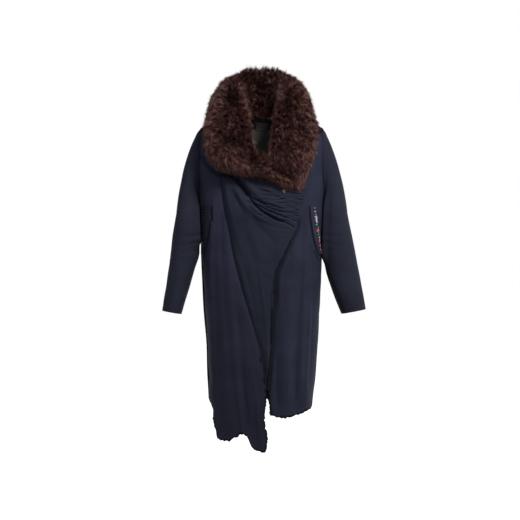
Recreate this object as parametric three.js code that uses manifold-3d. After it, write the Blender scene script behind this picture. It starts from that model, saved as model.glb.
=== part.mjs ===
// A long asymmetric women's parka coat, filled out as worn, in millimetres.
// +X is the wearer's left, -Y is the front, +Z is up. The origin is at the middle of
// the neck, level with the points where the shoulder seams meet the neckline.
//
// Pieces: back, side front and draped front of the wearer's right side, the plain
// front of the left side, two sleeves, the two halves of a deep fur shawl collar,
// the back neck facing with its label, two curved side pockets with a band and an
// embroidered trim each, and the metal snap at the top of the wrap.
// The draped front wraps across the plain left front and is gathered into its edge.
import * as THREE from "three";
import { mergeVertices } from "three/addons/utils/BufferGeometryUtils.js";
import Module from "manifold-3d";

const wasm = await Module();
wasm.setup();

// ---------------------------------------------------------------- driving sizes
const WALL = 2.0; // washed twill with its turned edges
const SEAM = 0.5; // clear gap between neighbouring pieces
const TRIM_WALL = 1.4; // pocket bands and trims
const FACING_WALL = 1.2; // neck facing
const FACING_GAP = 1.0; // between the back and the facing inside it
const LAID = 1.3; // how far what lies on a panel stands off it
const COLLAR_CLEAR = 3.6; // how far the collar stays off the cloth under it
const ARM = { middle: -168, tall: 132, deep: 52 }; // armhole: centre height, half height, half depth
const OVERLAP = { lift: 2.2, sink: 3.6, ease: 18 }; // wrap: how far the top layer lifts and the under layer sinks
const SLIT_TOP = -918; // where the wrap ends and the slit opens; hems shape everything below
const HEM_END = -1140;

// Body sections, from the neck down.
const BODY = table(
  ["z", "left", "right", "front", "back", "power"],
  [
    [0, 72, 72, 56, 66, 2.0],
    [-9, 106, 106, 66, 73, 2.05],
    [-18, 140, 140, 74, 79, 2.1],
    [-27, 173, 172, 80, 84, 2.15],
    [-36, 206, 204, 84, 88, 2.2],
    [-60, 213, 211, 94, 96, 2.35],
    [-100, 219, 213, 106, 103, 2.5],
    [-160, 221, 213, 119, 110, 2.6],
    [-230, 218, 212, 129, 112, 2.6],
    [-300, 213, 209, 131, 110, 2.55],
    [-350, 210, 206, 129, 107, 2.5],
    [-448, 207, 203, 127, 105, 2.45],
    [-571, 204, 200, 128, 114, 2.4],
    [-673, 197, 194, 130, 119, 2.4],
    [-775, 190, 189, 129, 121, 2.4],
    [-857, 187, 183, 127, 121, 2.4],
    [-938, 186, 174, 125, 120, 2.4],
    [-1040, 180, 168, 123, 119, 2.4],
    [-1150, 170, 163, 121, 118, 2.4],
  ],
);

// Where the front pieces end, across the body, at each height.
const NECKLINE = table(
  ["z", "x"],
  [
    [0, 72],
    [-40, 62],
    [-80, 48],
    [-120, 30],
    [-160, 8],
  ],
);
const SHAPED_SEAM = table(
  ["z", "x"],
  [
    [-18, -130],
    [-150, -143],
    [-205, -140],
    [-289, -128],
    [-372, -113],
    [-448, -101],
    [-552, -75],
    [-635, -51],
    [-741, -19],
    [-830, 1],
    [-900, 11],
    [-940, 14],
    [-1012, 9],
    [-1086, 19],
    [-1140, 7],
  ],
);
const WRAP_EDGE = table(
  ["z", "x"],
  [
    [-160, -8],
    [-190, 44],
    [-220, 98],
    [-240, 132],
    [-250, 142],
    [-290, 135],
    [-320, 122],
    [-365, 115],
    [-400, 104],
    [-440, 87],
    [-493, 60],
    [-545, 44],
    [-620, 42],
    [-680, 33],
    [-775, 33],
    [-850, 24],
    [-930, 16],
  ],
);
const UNDER_EDGE = table(
  ["z", "x"],
  [
    [-160, 8],
    [-200, -10],
    [-260, -25],
    [-330, -34],
    [-450, -34],
    [-560, -28],
    [-660, -18],
    [-740, -9],
    [-830, 6],
    [-890, 14],
    [-944, 19],
    [-975, 25],
    [-1020, 31],
  ],
);
// Hem heights across the body. "to" is where along the hem, by its x.
const FREE_EDGE = table(
  ["z", "x"],
  [
    [-938, -190],
    [-952, -184],
    [-972, -172],
    [-992, -165],
    [-1012, -166],
    [-1032, -162],
    [-1052, -156],
    [-1080, -152],
  ],
);
const HEM_LONG = table(
  ["x", "z"],
  [
    [-152, -1081],
    [-124, -1089],
    [-96, -1077],
    [-74, -1065],
    [-60, -1069],
    [-48, -1094],
    [-26, -1118],
    [7, -1124],
  ],
);
const HEM_SHORT = table(
  ["x", "z"],
  [
    [31, -1003],
    [77, -1009],
    [125, -997],
    [165, -980],
  ],
);
const HEM_BACK = table(
  ["x", "z"],
  [
    [-186, -952],
    [-120, -958],
    [0, -962],
    [120, -970],
    [165, -979],
  ],
);

// Folds: a soft ridge (height above 0) or trough (below 0) along a curve with three
// control points, on the front, the back or a sleeve.
const FRONT_FOLDS = table(
  ["x0", "z0", "x1", "z1", "x2", "z2", "height", "width"],
  [
    [-96, -186, -40, -314, 104, -372, -5, 11], // foot of the swag
    [-70, -180, -14, -288, 122, -338, 10, 15], // lip of the swag
    [-116, -196, -66, -340, 90, -400, 5, 18],
    [-20, -196, 40, -262, 136, -292, 6, 15],
    [-124, -230, -84, -420, 40, -560, 4, 22],
    [-140, -205, -110, -520, 0, -830, -3, 12], // drag along the shaped seam
    [-196, -300, -186, -600, -176, -1080, 4, 18],
    [-150, -480, -140, -760, -96, -1060, 4, 28],
    [-60, -760, -40, -900, -30, -1100, 5, 24],
    [96, -380, 84, -640, 72, -1010, 4, 26],
    [176, -480, 168, -700, 150, -1000, 5, 20],
    [128, -420, 126, -700, 118, -1000, -3, 20],
  ],
);
const BACK_FOLDS = table(
  ["x0", "z0", "x1", "z1", "x2", "z2", "height", "width"],
  [
    [-130, -180, -120, -600, -118, -950, 7, 24],
    [-66, -320, -60, -640, -54, -958, -4, 22],
    [4, -260, 0, -620, -6, -958, 5, 22],
    [70, -320, 62, -640, 60, -962, -4, 22],
    [132, -180, 122, -600, 116, -966, 7, 24],
  ],
);

// Sleeves below the underarm, both sides: distances out from the middle of the body.
const SLEEVE_L = sleeveTable([
  [-330, 290, 210, -70, 64, 2.4],
  [-380, 300, 208, -70, 61, 2.4],
  [-448, 314, 207.5, -68, 55, 2.35],
  [-510, 325, 216, -70, 48, 2.3],
  [-571, 336, 235, -73, 37, 2.2],
  [-620, 345, 253, -75, 27, 2.2],
  [-656, 351, 268, -76, 20, 2.2],
]);
const SLEEVE_R = sleeveTable([
  [-330, 291, 214, -70, 64, 2.4],
  [-380, 300, 212, -70, 61, 2.4],
  [-448, 308, 212, -68, 55, 2.35],
  [-510, 315, 229, -70, 48, 2.3],
  [-571, 323, 246, -73, 37, 2.2],
  [-620, 332, 261, -75, 27, 2.2],
  [-659, 338, 272, -76, 20, 2.2],
]);
const CUFF_TILT = { left: 8, right: 6 }; // how much lower a cuff's inner side hangs

// Fur collar sections. Each runs from an inner edge (i) by the neck to an outer edge
// (o), and its pile swells by "swell" along (nx, ny, nz).
const COLLAR_COLUMNS = ["ix", "iy", "iz", "ox", "oy", "oz", "nx", "ny", "nz", "swell", "sink"];
const COLLAR_NECK = table(COLLAR_COLUMNS, [
  [0, 62, 4, 0, 160, -44, 0, 0.06, 1, 208, 34],
  [36, 55, 4, 86, 148, -46, 0.02, 0.05, 1, 199, 34],
  [56, 34, 3, 150, 106, -48, 0.02, 0.02, 1, 182, 30],
  [56, -2, 0, 188, 44, -48, 0.03, -0.08, 1, 156, 22],
  [47, -50, -12, 194, -22, -52, 0.0, -0.42, 0.9, 124, 18],
]);
const COLLAR_LEFT_FRONT = table(COLLAR_COLUMNS, [
  [30, -86, -30, 191, -72, -68, -0.04, -0.74, 0.67, 86, 16],
  [20, -108, -70, 188, -100, -106, 0, -0.92, 0.4, 66, 16],
  [13, -120, -106, 178, -118, -145, 0, -0.98, 0.2, 56, 16],
  [14, -126, -138, 167, -122, -180, 0, -1, 0.12, 50, 16],
  [44, -128, -168, 154, -120, -212, 0, -1, 0.08, 42, 16],
  [90, -124, -196, 146, -110, -236, 0, -1, 0.05, 30, 16],
]);
const COLLAR_RIGHT_FRONT = table(COLLAR_COLUMNS, [
  [32, -86, -30, 194, -72, -66, 0, -0.74, 0.67, 88, 16],
  [24, -108, -74, 190, -102, -106, 0, -0.92, 0.4, 70, 16],
  [14, -120, -112, 176, -120, -154, 0, -0.98, 0.2, 62, 16],
  [2, -126, -140, 132, -128, -182, 0, -1, 0.14, 56, 16],
  [-18, -130, -158, 66, -132, -198, 0, -1, 0.1, 52, 16],
  [-46, -131, -172, -10, -132, -216, 0, -1, 0.1, 46, 16],
  [-80, -129, -192, -54, -130, -233, 0, -1, 0.1, 40, 16],
  [-114, -123, -204, -98, -124, -240, 0.1, -1, 0.1, 34, 16],
  [-142, -114, -210, -134, -114, -243, 0.2, -1, 0.1, 24, 16],
]);

// Side pockets: angle round the body (degrees from the middle of the front) of the
// mouth and of the trim, at each height. The right side's trim lies further round.
// How near the sleeves' inner sides lie to the body, and the heights at which they leave it.
const SLEEVE_REST = { clear: 3.4, left: -474, right: -405 };
const POCKET = table(
  ["z", "mouth", "trim", "trim_right"],
  [
    [-303, 45, 53, 63],
    [-332, 47, 56, 65],
    [-364, 50, 60, 67.5],
    [-395, 53, 64, 70],
    [-420, 57, 68, 73.5],
    [-444, 63, 73, 77.5],
    [-464, 69, 78, 82],
  ],
);
const TRIM_WIDTH = 14;
const SNAP = { x: 71, z: -254, radius: 6.5, height: 3.6 };

const MATERIAL = {
  twill: new THREE.MeshStandardMaterial({ color: 0x23252f, roughness: 0.86, metalness: 0 }),
  fur: new THREE.MeshStandardMaterial({ color: 0x33211e, roughness: 0.9, metalness: 0 }),
  lining: new THREE.MeshStandardMaterial({ color: 0x20261f, roughness: 0.7, metalness: 0 }),
  label: new THREE.MeshStandardMaterial({ color: 0x18181a, roughness: 0.8, metalness: 0 }),
  trim: new THREE.MeshStandardMaterial({ color: 0x6a3a48, roughness: 0.8, metalness: 0 }),
  metal: new THREE.MeshStandardMaterial({ color: 0x8d8472, roughness: 0.4, metalness: 0.9 }),
};

// ---------------------------------------------------------------- small tools
function table(columns, rows) {
  return rows.map((row) => Object.fromEntries(columns.map((c, i) => [c, row[i]])));
}
function sleeveTable(rows) {
  return table(["z", "out", "in", "front", "back", "power"], rows);
}
// A value of a table at a place between its rows, smooth and without overshoot.
function read(rows, by, column, at) {
  const x = rows.map((r) => r[by]);
  const y = rows.map((r) => r[column]);
  const up = x[x.length - 1] > x[0] ? 1 : -1;
  if ((at - x[0]) * up <= 0) return y[0];
  if ((at - x[x.length - 1]) * up >= 0) return y[y.length - 1];
  let k = 0;
  while ((at - x[k + 1]) * up > 0) k++;
  const slope = (i) => (y[i + 1] - y[i]) / (x[i + 1] - x[i]);
  const tangent = (i) => {
    if (i === 0) return slope(0);
    if (i === x.length - 1) return slope(i - 1);
    const a = slope(i - 1);
    const b = slope(i);
    return a * b <= 0 ? 0 : (2 * a * b) / (a + b);
  };
  const h = x[k + 1] - x[k];
  const t = (at - x[k]) / h;
  return (
    (2 * t ** 3 - 3 * t ** 2 + 1) * y[k] +
    (t ** 3 - 2 * t ** 2 + t) * h * tangent(k) +
    (-2 * t ** 3 + 3 * t ** 2) * y[k + 1] +
    (t ** 3 - t ** 2) * h * tangent(k + 1)
  );
}
const clamp = (v, lo, hi) => Math.min(hi, Math.max(lo, v));
const ease = (t) => ((t = clamp(t, 0, 1)), t * t * (3 - 2 * t));
const mix = (a, b, t) => a + (b - a) * t;
const power = (v, e) => Math.sign(v) * Math.abs(v) ** e;
const spread = (from, to, n) => Array.from({ length: n }, (_, i) => mix(from, to, i / (n - 1)));

// ---------------------------------------------------------------- the body's form
function section(z) {
  const s = {};
  for (const c of ["left", "right", "front", "back", "power"]) s[c] = read(BODY, "z", c, z);
  return s;
}
// phi is 0 at the middle of the front, +90 degrees at the wearer's left side.
function bare(phi, z) {
  const s = section(z);
  const sn = Math.sin(phi);
  const cs = Math.cos(phi);
  return new THREE.Vector3(
    (sn >= 0 ? s.right : s.left) * power(sn, 2 / s.power),
    -(cs >= 0 ? s.front : s.back) * power(cs, 2 / s.power),
    z,
  );
}
function normal(phi, z) {
  const d = 0.01;
  const across = bare(phi + d, z).sub(bare(phi - d, z));
  const down = bare(phi, Math.max(z - 2, HEM_END - 20)).sub(bare(phi, Math.min(z + 2, 0)));
  return across.cross(down).normalize().negate();
}
function phiAtX(x, z) {
  const s = section(z);
  return Math.sign(x) * Math.asin(clamp(Math.abs(x) / (x >= 0 ? s.right : s.left), 0, 1) ** (s.power / 2));
}
// The angle from the middle of the front at which the front half is y deep.
function phiAtY(y, z, half) {
  const s = section(z);
  const c = clamp(Math.abs(y) / s[half], 0, 1) ** (s.power / 2);
  return half === "front" ? Math.acos(c) : Math.PI - Math.acos(c);
}
function armDepth(z) {
  const t = (z - ARM.middle) / ARM.tall;
  return Math.abs(t) < 1 ? ARM.deep * Math.sqrt(1 - t * t) : 0;
}

// How far a point of the front or back stands off the bare form because of its folds.
function foldHeight(rows, x, z) {
  let sum = 0;
  for (const f of rows) {
    if (z > Math.max(f.z0, f.z2) + 40 || z < Math.min(f.z0, f.z2) - 40) continue;
    let best = Infinity;
    let where = 0;
    for (let i = 0; i <= 24; i++) {
      const t = i / 24;
      const px = (1 - t) ** 2 * f.x0 + 2 * t * (1 - t) * f.x1 + t * t * f.x2;
      const pz = (1 - t) ** 2 * f.z0 + 2 * t * (1 - t) * f.z1 + t * t * f.z2;
      const d = Math.hypot(x - px, z - pz);
      if (d < best) {
        best = d;
        where = t;
      }
    }
    sum += f.height * Math.exp(-((best / f.width) ** 2)) * ease(where * 5) * ease((1 - where) * 8);
  }
  return sum;
}
const wrapEdge = (z) => (z > -160 ? -read(NECKLINE, "z", "x", z) : read(WRAP_EDGE, "z", "x", z));
const shapedSeam = (z) => read(SHAPED_SEAM, "z", "x", z);
const underEdge = (z) => (z > -160 ? read(NECKLINE, "z", "x", z) : read(UNDER_EDGE, "z", "x", z));
function lift(piece, phi, z) {
  const x = bare(phi, z).x;
  if (piece === "back") return foldHeight(BACK_FOLDS, x, z);
  const folds = foldHeight(FRONT_FOLDS, x, z);
  if (piece === "drape") {
    const top = OVERLAP.lift * ease((x - shapedSeam(z)) / 20) * ease((z - SLIT_TOP + 4) / 60);
    return Math.max(top + folds, mix(-6, top - 0.6, ease((x - underEdge(z) + 32) / 22)));
  }
  if (piece === "under") {
    const covered = z > -160 ? 0 : ease((wrapEdge(z) + OVERLAP.ease - x) / OVERLAP.ease);
    return mix(folds, 0, covered) - OVERLAP.sink * covered * ease((-160 - z) / 30) * ease((z + 985) / 40);
  }
  return folds;
}
function onBody(piece, phi, z, off = 0) {
  return bare(phi, z).addScaledVector(normal(phi, z), lift(piece, phi, z) + off);
}

// ---------------------------------------------------------------- closed walls
// A wall from a grid of outer points and the grid of inner ones behind it.
function wall(outer, inner, around = false) {
  const rows = outer.length;
  const cols = outer[0].length;
  const at = [];
  const put = (grid) => grid.map((row) => row.map((p) => (at.push(p.x, p.y, p.z), at.length / 3 - 1)));
  const o = put(outer);
  const n = put(inner);
  const faces = [];
  const quad = (a, b, c, d) => faces.push(a, b, c, a, c, d);
  const last = around ? cols : cols - 1;
  for (let i = 0; i < rows - 1; i++)
    for (let j = 0; j < last; j++) {
      const k = (j + 1) % cols;
      quad(o[i][j], o[i + 1][j], o[i + 1][k], o[i][k]);
      quad(n[i][k], n[i + 1][k], n[i + 1][j], n[i][j]);
    }
  for (let j = 0; j < last; j++) {
    const k = (j + 1) % cols;
    quad(o[0][k], n[0][k], n[0][j], o[0][j]);
    quad(o[rows - 1][j], n[rows - 1][j], n[rows - 1][k], o[rows - 1][k]);
  }
  if (!around)
    for (let i = 0; i < rows - 1; i++) {
      quad(o[i][0], n[i][0], n[i + 1][0], o[i + 1][0]);
      quad(o[i + 1][cols - 1], n[i + 1][cols - 1], n[i][cols - 1], o[i][cols - 1]);
    }
  return facingOut(at, faces);
}
function facingOut(at, faces) {
  const p = (i) => new THREE.Vector3(at[3 * i], at[3 * i + 1], at[3 * i + 2]);
  let volume = 0;
  for (let i = 0; i < faces.length; i += 3) volume += p(faces[i]).dot(p(faces[i + 1]).cross(p(faces[i + 2])));
  if (volume < 0) for (let i = 0; i < faces.length; i += 3) [faces[i + 1], faces[i + 2]] = [faces[i + 2], faces[i + 1]];
  return new THREE.BufferGeometry()
    .setAttribute("position", new THREE.BufferAttribute(new Float32Array(at), 3))
    .setIndex(faces);
}
function solid(geometry) {
  const g = geometry.clone();
  for (const name of ["normal", "uv"]) g.deleteAttribute(name);
  const merged = mergeVertices(g, 1e-4);
  return new wasm.Manifold(
    new wasm.Mesh({
      numProp: 3,
      vertProperties: new Float32Array(merged.attributes.position.array),
      triVerts: new Uint32Array(merged.index.array),
    }),
  );
}
function geometryOf(manifold) {
  const m = manifold.getMesh();
  const at = new Float32Array(m.numVert * 3);
  for (let i = 0; i < m.numVert; i++) at.set(m.vertProperties.subarray(i * m.numProp, i * m.numProp + 3), i * 3);
  return new THREE.BufferGeometry()
    .setAttribute("position", new THREE.BufferAttribute(at, 3))
    .setIndex([...m.triVerts]);
}
// A panel of the body: rows of heights, and the two angles between which each row runs.
// Rows below "start" are drawn up so that the last one follows the hem.
function panel(piece, heights, columns, from, to, hem, start) {
  const places = heights.map((z) =>
    spread(0, 1, columns).map((t) => {
      let h = z;
      if (hem && z < start) {
        const end = read(hem, "x", "z", bare(mix(from(HEM_END), to(HEM_END), t), HEM_END).x);
        h = mix(start, end, (z - start) / (HEM_END - start));
      }
      return [mix(from(h), to(h), t), h];
    }),
  );
  const grid = (off) => places.map((row) => row.map(([phi, z]) => onBody(piece, phi, z, off)));
  const outer = grid(0);
  const inner = grid(-WALL);
  // The point of the made panel at an angle and a height, moved off it.
  const at = (phi, z, off) => {
    let i = 0;
    while (i < heights.length - 2 && z < heights[i + 1]) i++;
    const s = (heights[i] - z) / (heights[i] - heights[i + 1]);
    const a = mix(from(heights[i]), from(heights[i + 1]), s);
    const b = mix(to(heights[i]), to(heights[i + 1]), s);
    const place = clamp(((phi - a) / (b - a)) * (columns - 1), 0, columns - 1.000001);
    const j = Math.floor(place);
    const u = place - j;
    const g = off > 0 ? outer : inner;
    const p = g[i][j].clone();
    const step = (q, r, f) => p.addScaledVector(q, f).addScaledVector(r, -f);
    if (s > u) step(g[i + 1][j], g[i][j], s) && step(g[i + 1][j + 1], g[i + 1][j], u);
    else step(g[i][j + 1], g[i][j], u) && step(g[i + 1][j + 1], g[i][j + 1], s);
    return p.addScaledVector(normal(phi, z), off);
  };
  return { geometry: wall(outer, inner), at };
}

// ---------------------------------------------------------------- the pieces
const side = (half) => (z) => {
  const y = armDepth(z) + SEAM / 2;
  return phiAtY(y, z, half);
};
// Heights of the armhole loop's points, shared by the sleeves and the panels round them.
const ARM_POINTS = 20;
const ARMHOLE = spread(0, ARM_POINTS / 2, ARM_POINTS / 2 + 1).map(
  (j) => ARM.middle + ARM.tall * Math.cos((2 * Math.PI * j) / ARM_POINTS),
);
const between = (hi, lo) => ARMHOLE.filter((z) => z < hi && z > lo);
// Heights shared by both sides of the shaped seam.
const SEAM_ROWS = [
  ...[-27, -36],
  ...between(-36, -140),
  ...[-150, -168, -182, -195, -209, -221, -233, -245, -255, -265, -275, -284, -293, -300, -312, -325, -338, -352, -366],
  ...[-385, -410, -445, -485, -535, -590, -650, -715, -785, -855, SLIT_TOP],
];

const backPanel = panel(
  "back",
  [-0.6, -9, -18, -27, ...ARMHOLE, -350, -410, -480, -560, -650, -745, -840, -940, -1040, HEM_END],
  18,
  side("back"),
  (z) => 2 * Math.PI - side("back")(z),
  HEM_BACK,
  -840,
);
const freeEdge = (z) => Math.max(-side("front")(z), phiAtX(read(FREE_EDGE, "z", "x", z), z));
const sideFront = panel(
  "side",
  [-19, ...SEAM_ROWS, -965, -1000, -1035, -1070, -1105, HEM_END],
  10,
  (z) => (z > -938 ? -side("front")(z) : freeEdge(z)),
  (z) => phiAtX(shapedSeam(z) - SEAM / 2, z),
  HEM_LONG,
  SLIT_TOP,
);
const drapedFront = panel(
  "drape",
  [-3, -10, -18.5, ...SEAM_ROWS],
  13,
  (z) => (z > -18.4 ? -side("front")(z) : phiAtX(shapedSeam(z) + SEAM / 2, z)),
  (z) => phiAtX(wrapEdge(z), z),
);
const plainFront = panel(
  "under",
  [
    ...[-3, -10, -19, -27, ...ARMHOLE, -340, -390, -448, -510, -571, -635, -700, -770, -840, -900, -960, -1020, -1080],
    HEM_END,
  ],
  11,
  (z) => phiAtX(underEdge(z), z),
  (z) => side("front")(z),
  HEM_SHORT,
  -840,
);

function sleeve(rows, sign, tilt) {
  const around = ARM_POINTS;
  const first = rows[0];
  const ring = (r, lean) =>
    Array.from({ length: around }, (_, j) => {
      const a = (2 * Math.PI * j) / around; // 0 is the outer side, 90 degrees the front
      const mx = (r.out + r.in) / 2;
      const my = (r.front + r.back) / 2;
      const out = power(Math.cos(a), 2 / r.power);
      return new THREE.Vector3(
        sign * (mx + ((r.out - r.in) / 2) * out),
        my - ((r.back - r.front) / 2) * power(Math.sin(a), 2 / r.power),
        r.z + lean * out,
      );
    });
  const armhole = Array.from({ length: around }, (_, j) => {
    const a = (2 * Math.PI * j) / around;
    const y = -(ARM.deep - 0.7) * Math.sin(a);
    const z = ARM.middle + (ARM.tall - 0.7) * Math.cos(a);
    const s = section(z);
    const half = y < 0 ? s.front : s.back;
    const wide = sign > 0 ? s.right : s.left;
    return new THREE.Vector3(sign * wide * (1 - (Math.abs(y) / half) ** s.power) ** (1 / s.power), y, z);
  });
  const biceps = ring(first, 6);
  const grid = [];
  for (const t of [0, 0.08, 0.2, 0.36, 0.55, 0.77, 1]) {
    grid.push(
      armhole.map((a, j) => {
        const top = (1 + Math.cos((2 * Math.PI * j) / around)) / 2;
        const leave = new THREE.Vector3(sign * mix(14, sign > 0 ? 100 : 122, top), 0, mix(-20, -108, top));
        const arrive = new THREE.Vector3(sign * mix(0, 24, top), 0, mix(-40, -300, top));
        return new THREE.Vector3()
          .addScaledVector(a, 2 * t ** 3 - 3 * t ** 2 + 1)
          .addScaledVector(leave, t ** 3 - 2 * t ** 2 + t)
          .addScaledVector(biceps[j], -2 * t ** 3 + 3 * t ** 2)
          .addScaledVector(arrive, t ** 3 - t ** 2);
      }),
    );
  }
  const end = rows[rows.length - 1].z;
  for (const z of [-376, -424, -472, -520, -570, -618, end]) {
    const r = { z };
    for (const c of ["out", "in", "front", "back", "power"]) r[c] = read(rows, "z", c, z);
    const pinch = 3 * Math.sin((z + 424) / 26) * ease((z - end) / 40) * ease((-400 - z) / 30); // elbow creases
    r.in += pinch;
    grid.push(ring(r, mix(6, tilt, (z + 330) / (end + 330))));
  }
  // Down to its parting height the sleeve's inner side lies round the side of the body.
  for (const p of grid.flat()) {
    if (p.z > ARM.middle - ARM.tall) continue;
    const s = section(p.z);
    const share = Math.abs(p.y) / (p.y < 0 ? s.front : s.back);
    const nearest = (sign > 0 ? s.right : s.left) * (1 - share ** s.power) ** (1 / s.power) + SLEEVE_REST.clear;
    const x = sign * p.x;
    const parting = sign > 0 ? SLEEVE_REST.left : SLEEVE_REST.right;
    const near = ease((ARM.middle - ARM.tall - p.z) / 50) * ease((p.z - parting + 20) / 50) * ease((nearest + 26 - x) / 18);
    if (x > nearest) p.x = sign * mix(x, nearest, near);
  }
  const rowsOut = grid.length;
  const inner = grid.map((row, i) =>
    row.map((p, j) => {
      const before = grid[Math.max(i - 1, 0)][j];
      const after = grid[Math.min(i + 1, rowsOut - 1)][j];
      const l = row[(j + around - 1) % around];
      const r = row[(j + 1) % around];
      const n = after.clone().sub(before).cross(r.clone().sub(l)).normalize();
      const middle = row.reduce((m, q) => m.add(q), new THREE.Vector3()).divideScalar(around);
      if (n.dot(p.clone().sub(middle)) < 0) n.negate();
      return p.clone().addScaledVector(n, -WALL);
    }),
  );
  return wall(grid, inner, true);
}

// The outside of the dressed body, moved out by some clearance, as one block.
function bodyBlock(clear) {
  const around = 60;
  const heights = [-0, -9, -18, -27, -36, -60, -90, -125, -160, -190, -215, -240, -265, -300];
  const rings = heights.map((z) =>
    Array.from({ length: around }, (_, j) => {
      const phi = -Math.PI + (2 * Math.PI * j) / around;
      const x = bare(phi, z).x;
      const front = Math.abs(phi) < Math.PI / 2;
      const piece = !front ? "back" : x < wrapEdge(z) + 8 && z < -150 ? "drape" : "side";
      return onBody(piece, phi, z, clear);
    }),
  );
  rings[0].forEach((p) => (p.z = clear));
  return closedLoft(rings);
}
function closedLoft(rings) {
  const at = [];
  const id = rings.map((ring) => ring.map((p) => (at.push(p.x, p.y, p.z), at.length / 3 - 1)));
  const faces = [];
  const n = rings[0].length;
  for (let i = 0; i < rings.length - 1; i++)
    for (let j = 0; j < n; j++) {
      const k = (j + 1) % n;
      faces.push(id[i][j], id[i + 1][j], id[i + 1][k], id[i][j], id[i + 1][k], id[i][k]);
    }
  for (const [ring, flip] of [
    [0, false],
    [rings.length - 1, true],
  ]) {
    const middle = rings[ring].reduce((m, q) => m.add(q), new THREE.Vector3()).divideScalar(n);
    at.push(middle.x, middle.y, middle.z);
    const c = at.length / 3 - 1;
    for (let j = 0; j < n; j++) {
      const k = (j + 1) % n;
      if (flip) faces.push(c, id[ring][k], id[ring][j]);
      else faces.push(c, id[ring][j], id[ring][k]);
    }
  }
  return facingOut(at, faces);
}
// One half of the fur collar, from the middle of the back to its front end.
function collar(rows, sign, grow = 0) {
  const arch = 10;
  const steps = (rows.length - 1) * 2;
  const rings = [];
  for (let i = 0; i <= steps; i++) {
    const place = i / 2;
    const keyed = rows.map((r, k) => ({ ...r, k }));
    const r = {};
    for (const c of COLLAR_COLUMNS) r[c] = read(keyed, "k", c, place);
    const I = new THREE.Vector3(sign * r.ix, r.iy, r.iz);
    const O = new THREE.Vector3(sign * r.ox, r.oy, r.oz);
    if (i === 0) I.x = O.x = sign * 0.3;
    const n = new THREE.Vector3(i === 0 ? 0 : sign * r.nx, r.ny, r.nz).normalize();
    const along = O.clone().sub(I);
    const half = along.length() / 2 + grow;
    along.normalize();
    const middle = I.clone().add(O).multiplyScalar(0.5);
    const ring = [];
    for (let j = 0; j <= arch; j++) {
      const a = (Math.PI * j) / arch;
      ring.push(
        middle
          .clone()
          .addScaledVector(along, -half * power(Math.cos(a), 2 / 2.3))
          .addScaledVector(n, (r.swell + grow) * power(Math.sin(a), 2 / 2.3)),
      );
    }
    for (const t of [0.5, 0, -0.5])
      ring.push(middle.clone().addScaledVector(along, half * t).addScaledVector(n, -(r.sink + grow)));
    rings.push(ring);
  }
  if (grow) {
    const tip = rings[rings.length - 1];
    const step = tip[arch / 2].clone().sub(rings[rings.length - 3][arch / 2]).normalize();
    tip.forEach((p) => p.addScaledVector(step, grow));
  }
  return closedLoft(rings);
}

// The left half leans in more above the shoulder than the right half.
const leaning = COLLAR_NECK.map((r, i) => ({ ...r, nx: r.nx - [0, 0.02, 0.04, 0.09, 0.07][i] }));
const rightRows = [...COLLAR_NECK, ...COLLAR_RIGHT_FRONT];
const leftRows = [...leaning, ...COLLAR_LEFT_FRONT];
const dressed = solid(bodyBlock(COLLAR_CLEAR));
const rightCollar = solid(collar(rightRows, -1)).subtract(dressed);
const leftCollar = solid(collar(leftRows, 1))
  .subtract(dressed)
  .subtract(solid(collar(rightRows, -1, 0.8)));

// The biggest connected part of a cut solid.
function whole(manifold) {
  const parts = manifold.decompose();
  return parts.reduce((a, b) => (b.volume() > a.volume() ? b : a));
}

// A band that lies on a panel (or inside it) between two angles at each height.
function band(on, heights, columns, from, to, near, far) {
  const grid = (off) => heights.map((z) => spread(from(z), to(z), columns).map((phi) => on.at(phi, z, off)));
  return wall(grid(far), grid(near));
}
const degrees = Math.PI / 180;
const pocketHeights = spread(POCKET[0].z, POCKET[POCKET.length - 1].z, 11);
const perMm = (phi, z) => 0.02 / bare(phi + 0.01, z).distanceTo(bare(phi - 0.01, z));
function pocketBand(sign) {
  const edge = (z) => sign * read(POCKET, "z", "mouth", z) * degrees;
  const end = (z) => {
    const phi = sign * read(POCKET, "z", sign > 0 ? "trim" : "trim_right", z) * degrees;
    return phi - sign * (TRIM_WIDTH / 2 + SEAM) * perMm(phi, z);
  };
  const [a, b] = sign > 0 ? [edge, end] : [end, edge];
  return band(sign > 0 ? plainFront : sideFront, pocketHeights, 6, a, b, LAID, LAID + TRIM_WALL);
}
function pocketTrim(sign) {
  const line = (z) => sign * read(POCKET, "z", sign > 0 ? "trim" : "trim_right", z) * degrees;
  const a = (z) => line(z) - (TRIM_WIDTH / 2) * perMm(line(z), z);
  const b = (z) => line(z) + (TRIM_WIDTH / 2) * perMm(line(z), z);
  return band(sign > 0 ? plainFront : sideFront, pocketHeights, 4, a, b, LAID, LAID + TRIM_WALL + 0.8);
}

// Inside the back of the neck.
const facing = band(
  backPanel,
  [-5, -16, -27, -42, -61, -90, -127, -186],
  9,
  (z) => Math.PI - 0.62 - 0.1 * Math.cos(z / 40),
  (z) => Math.PI + 0.62 + 0.1 * Math.cos(z / 40),
  -FACING_GAP,
  -FACING_GAP - FACING_WALL,
);
const label = band(
  backPanel,
  [-14, -25, -36],
  3,
  (z) => Math.PI - 23 * perMm(Math.PI, z),
  (z) => Math.PI + 23 * perMm(Math.PI, z),
  -FACING_GAP - FACING_WALL - 0.8,
  -FACING_GAP - FACING_WALL - 1.6,
);

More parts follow.
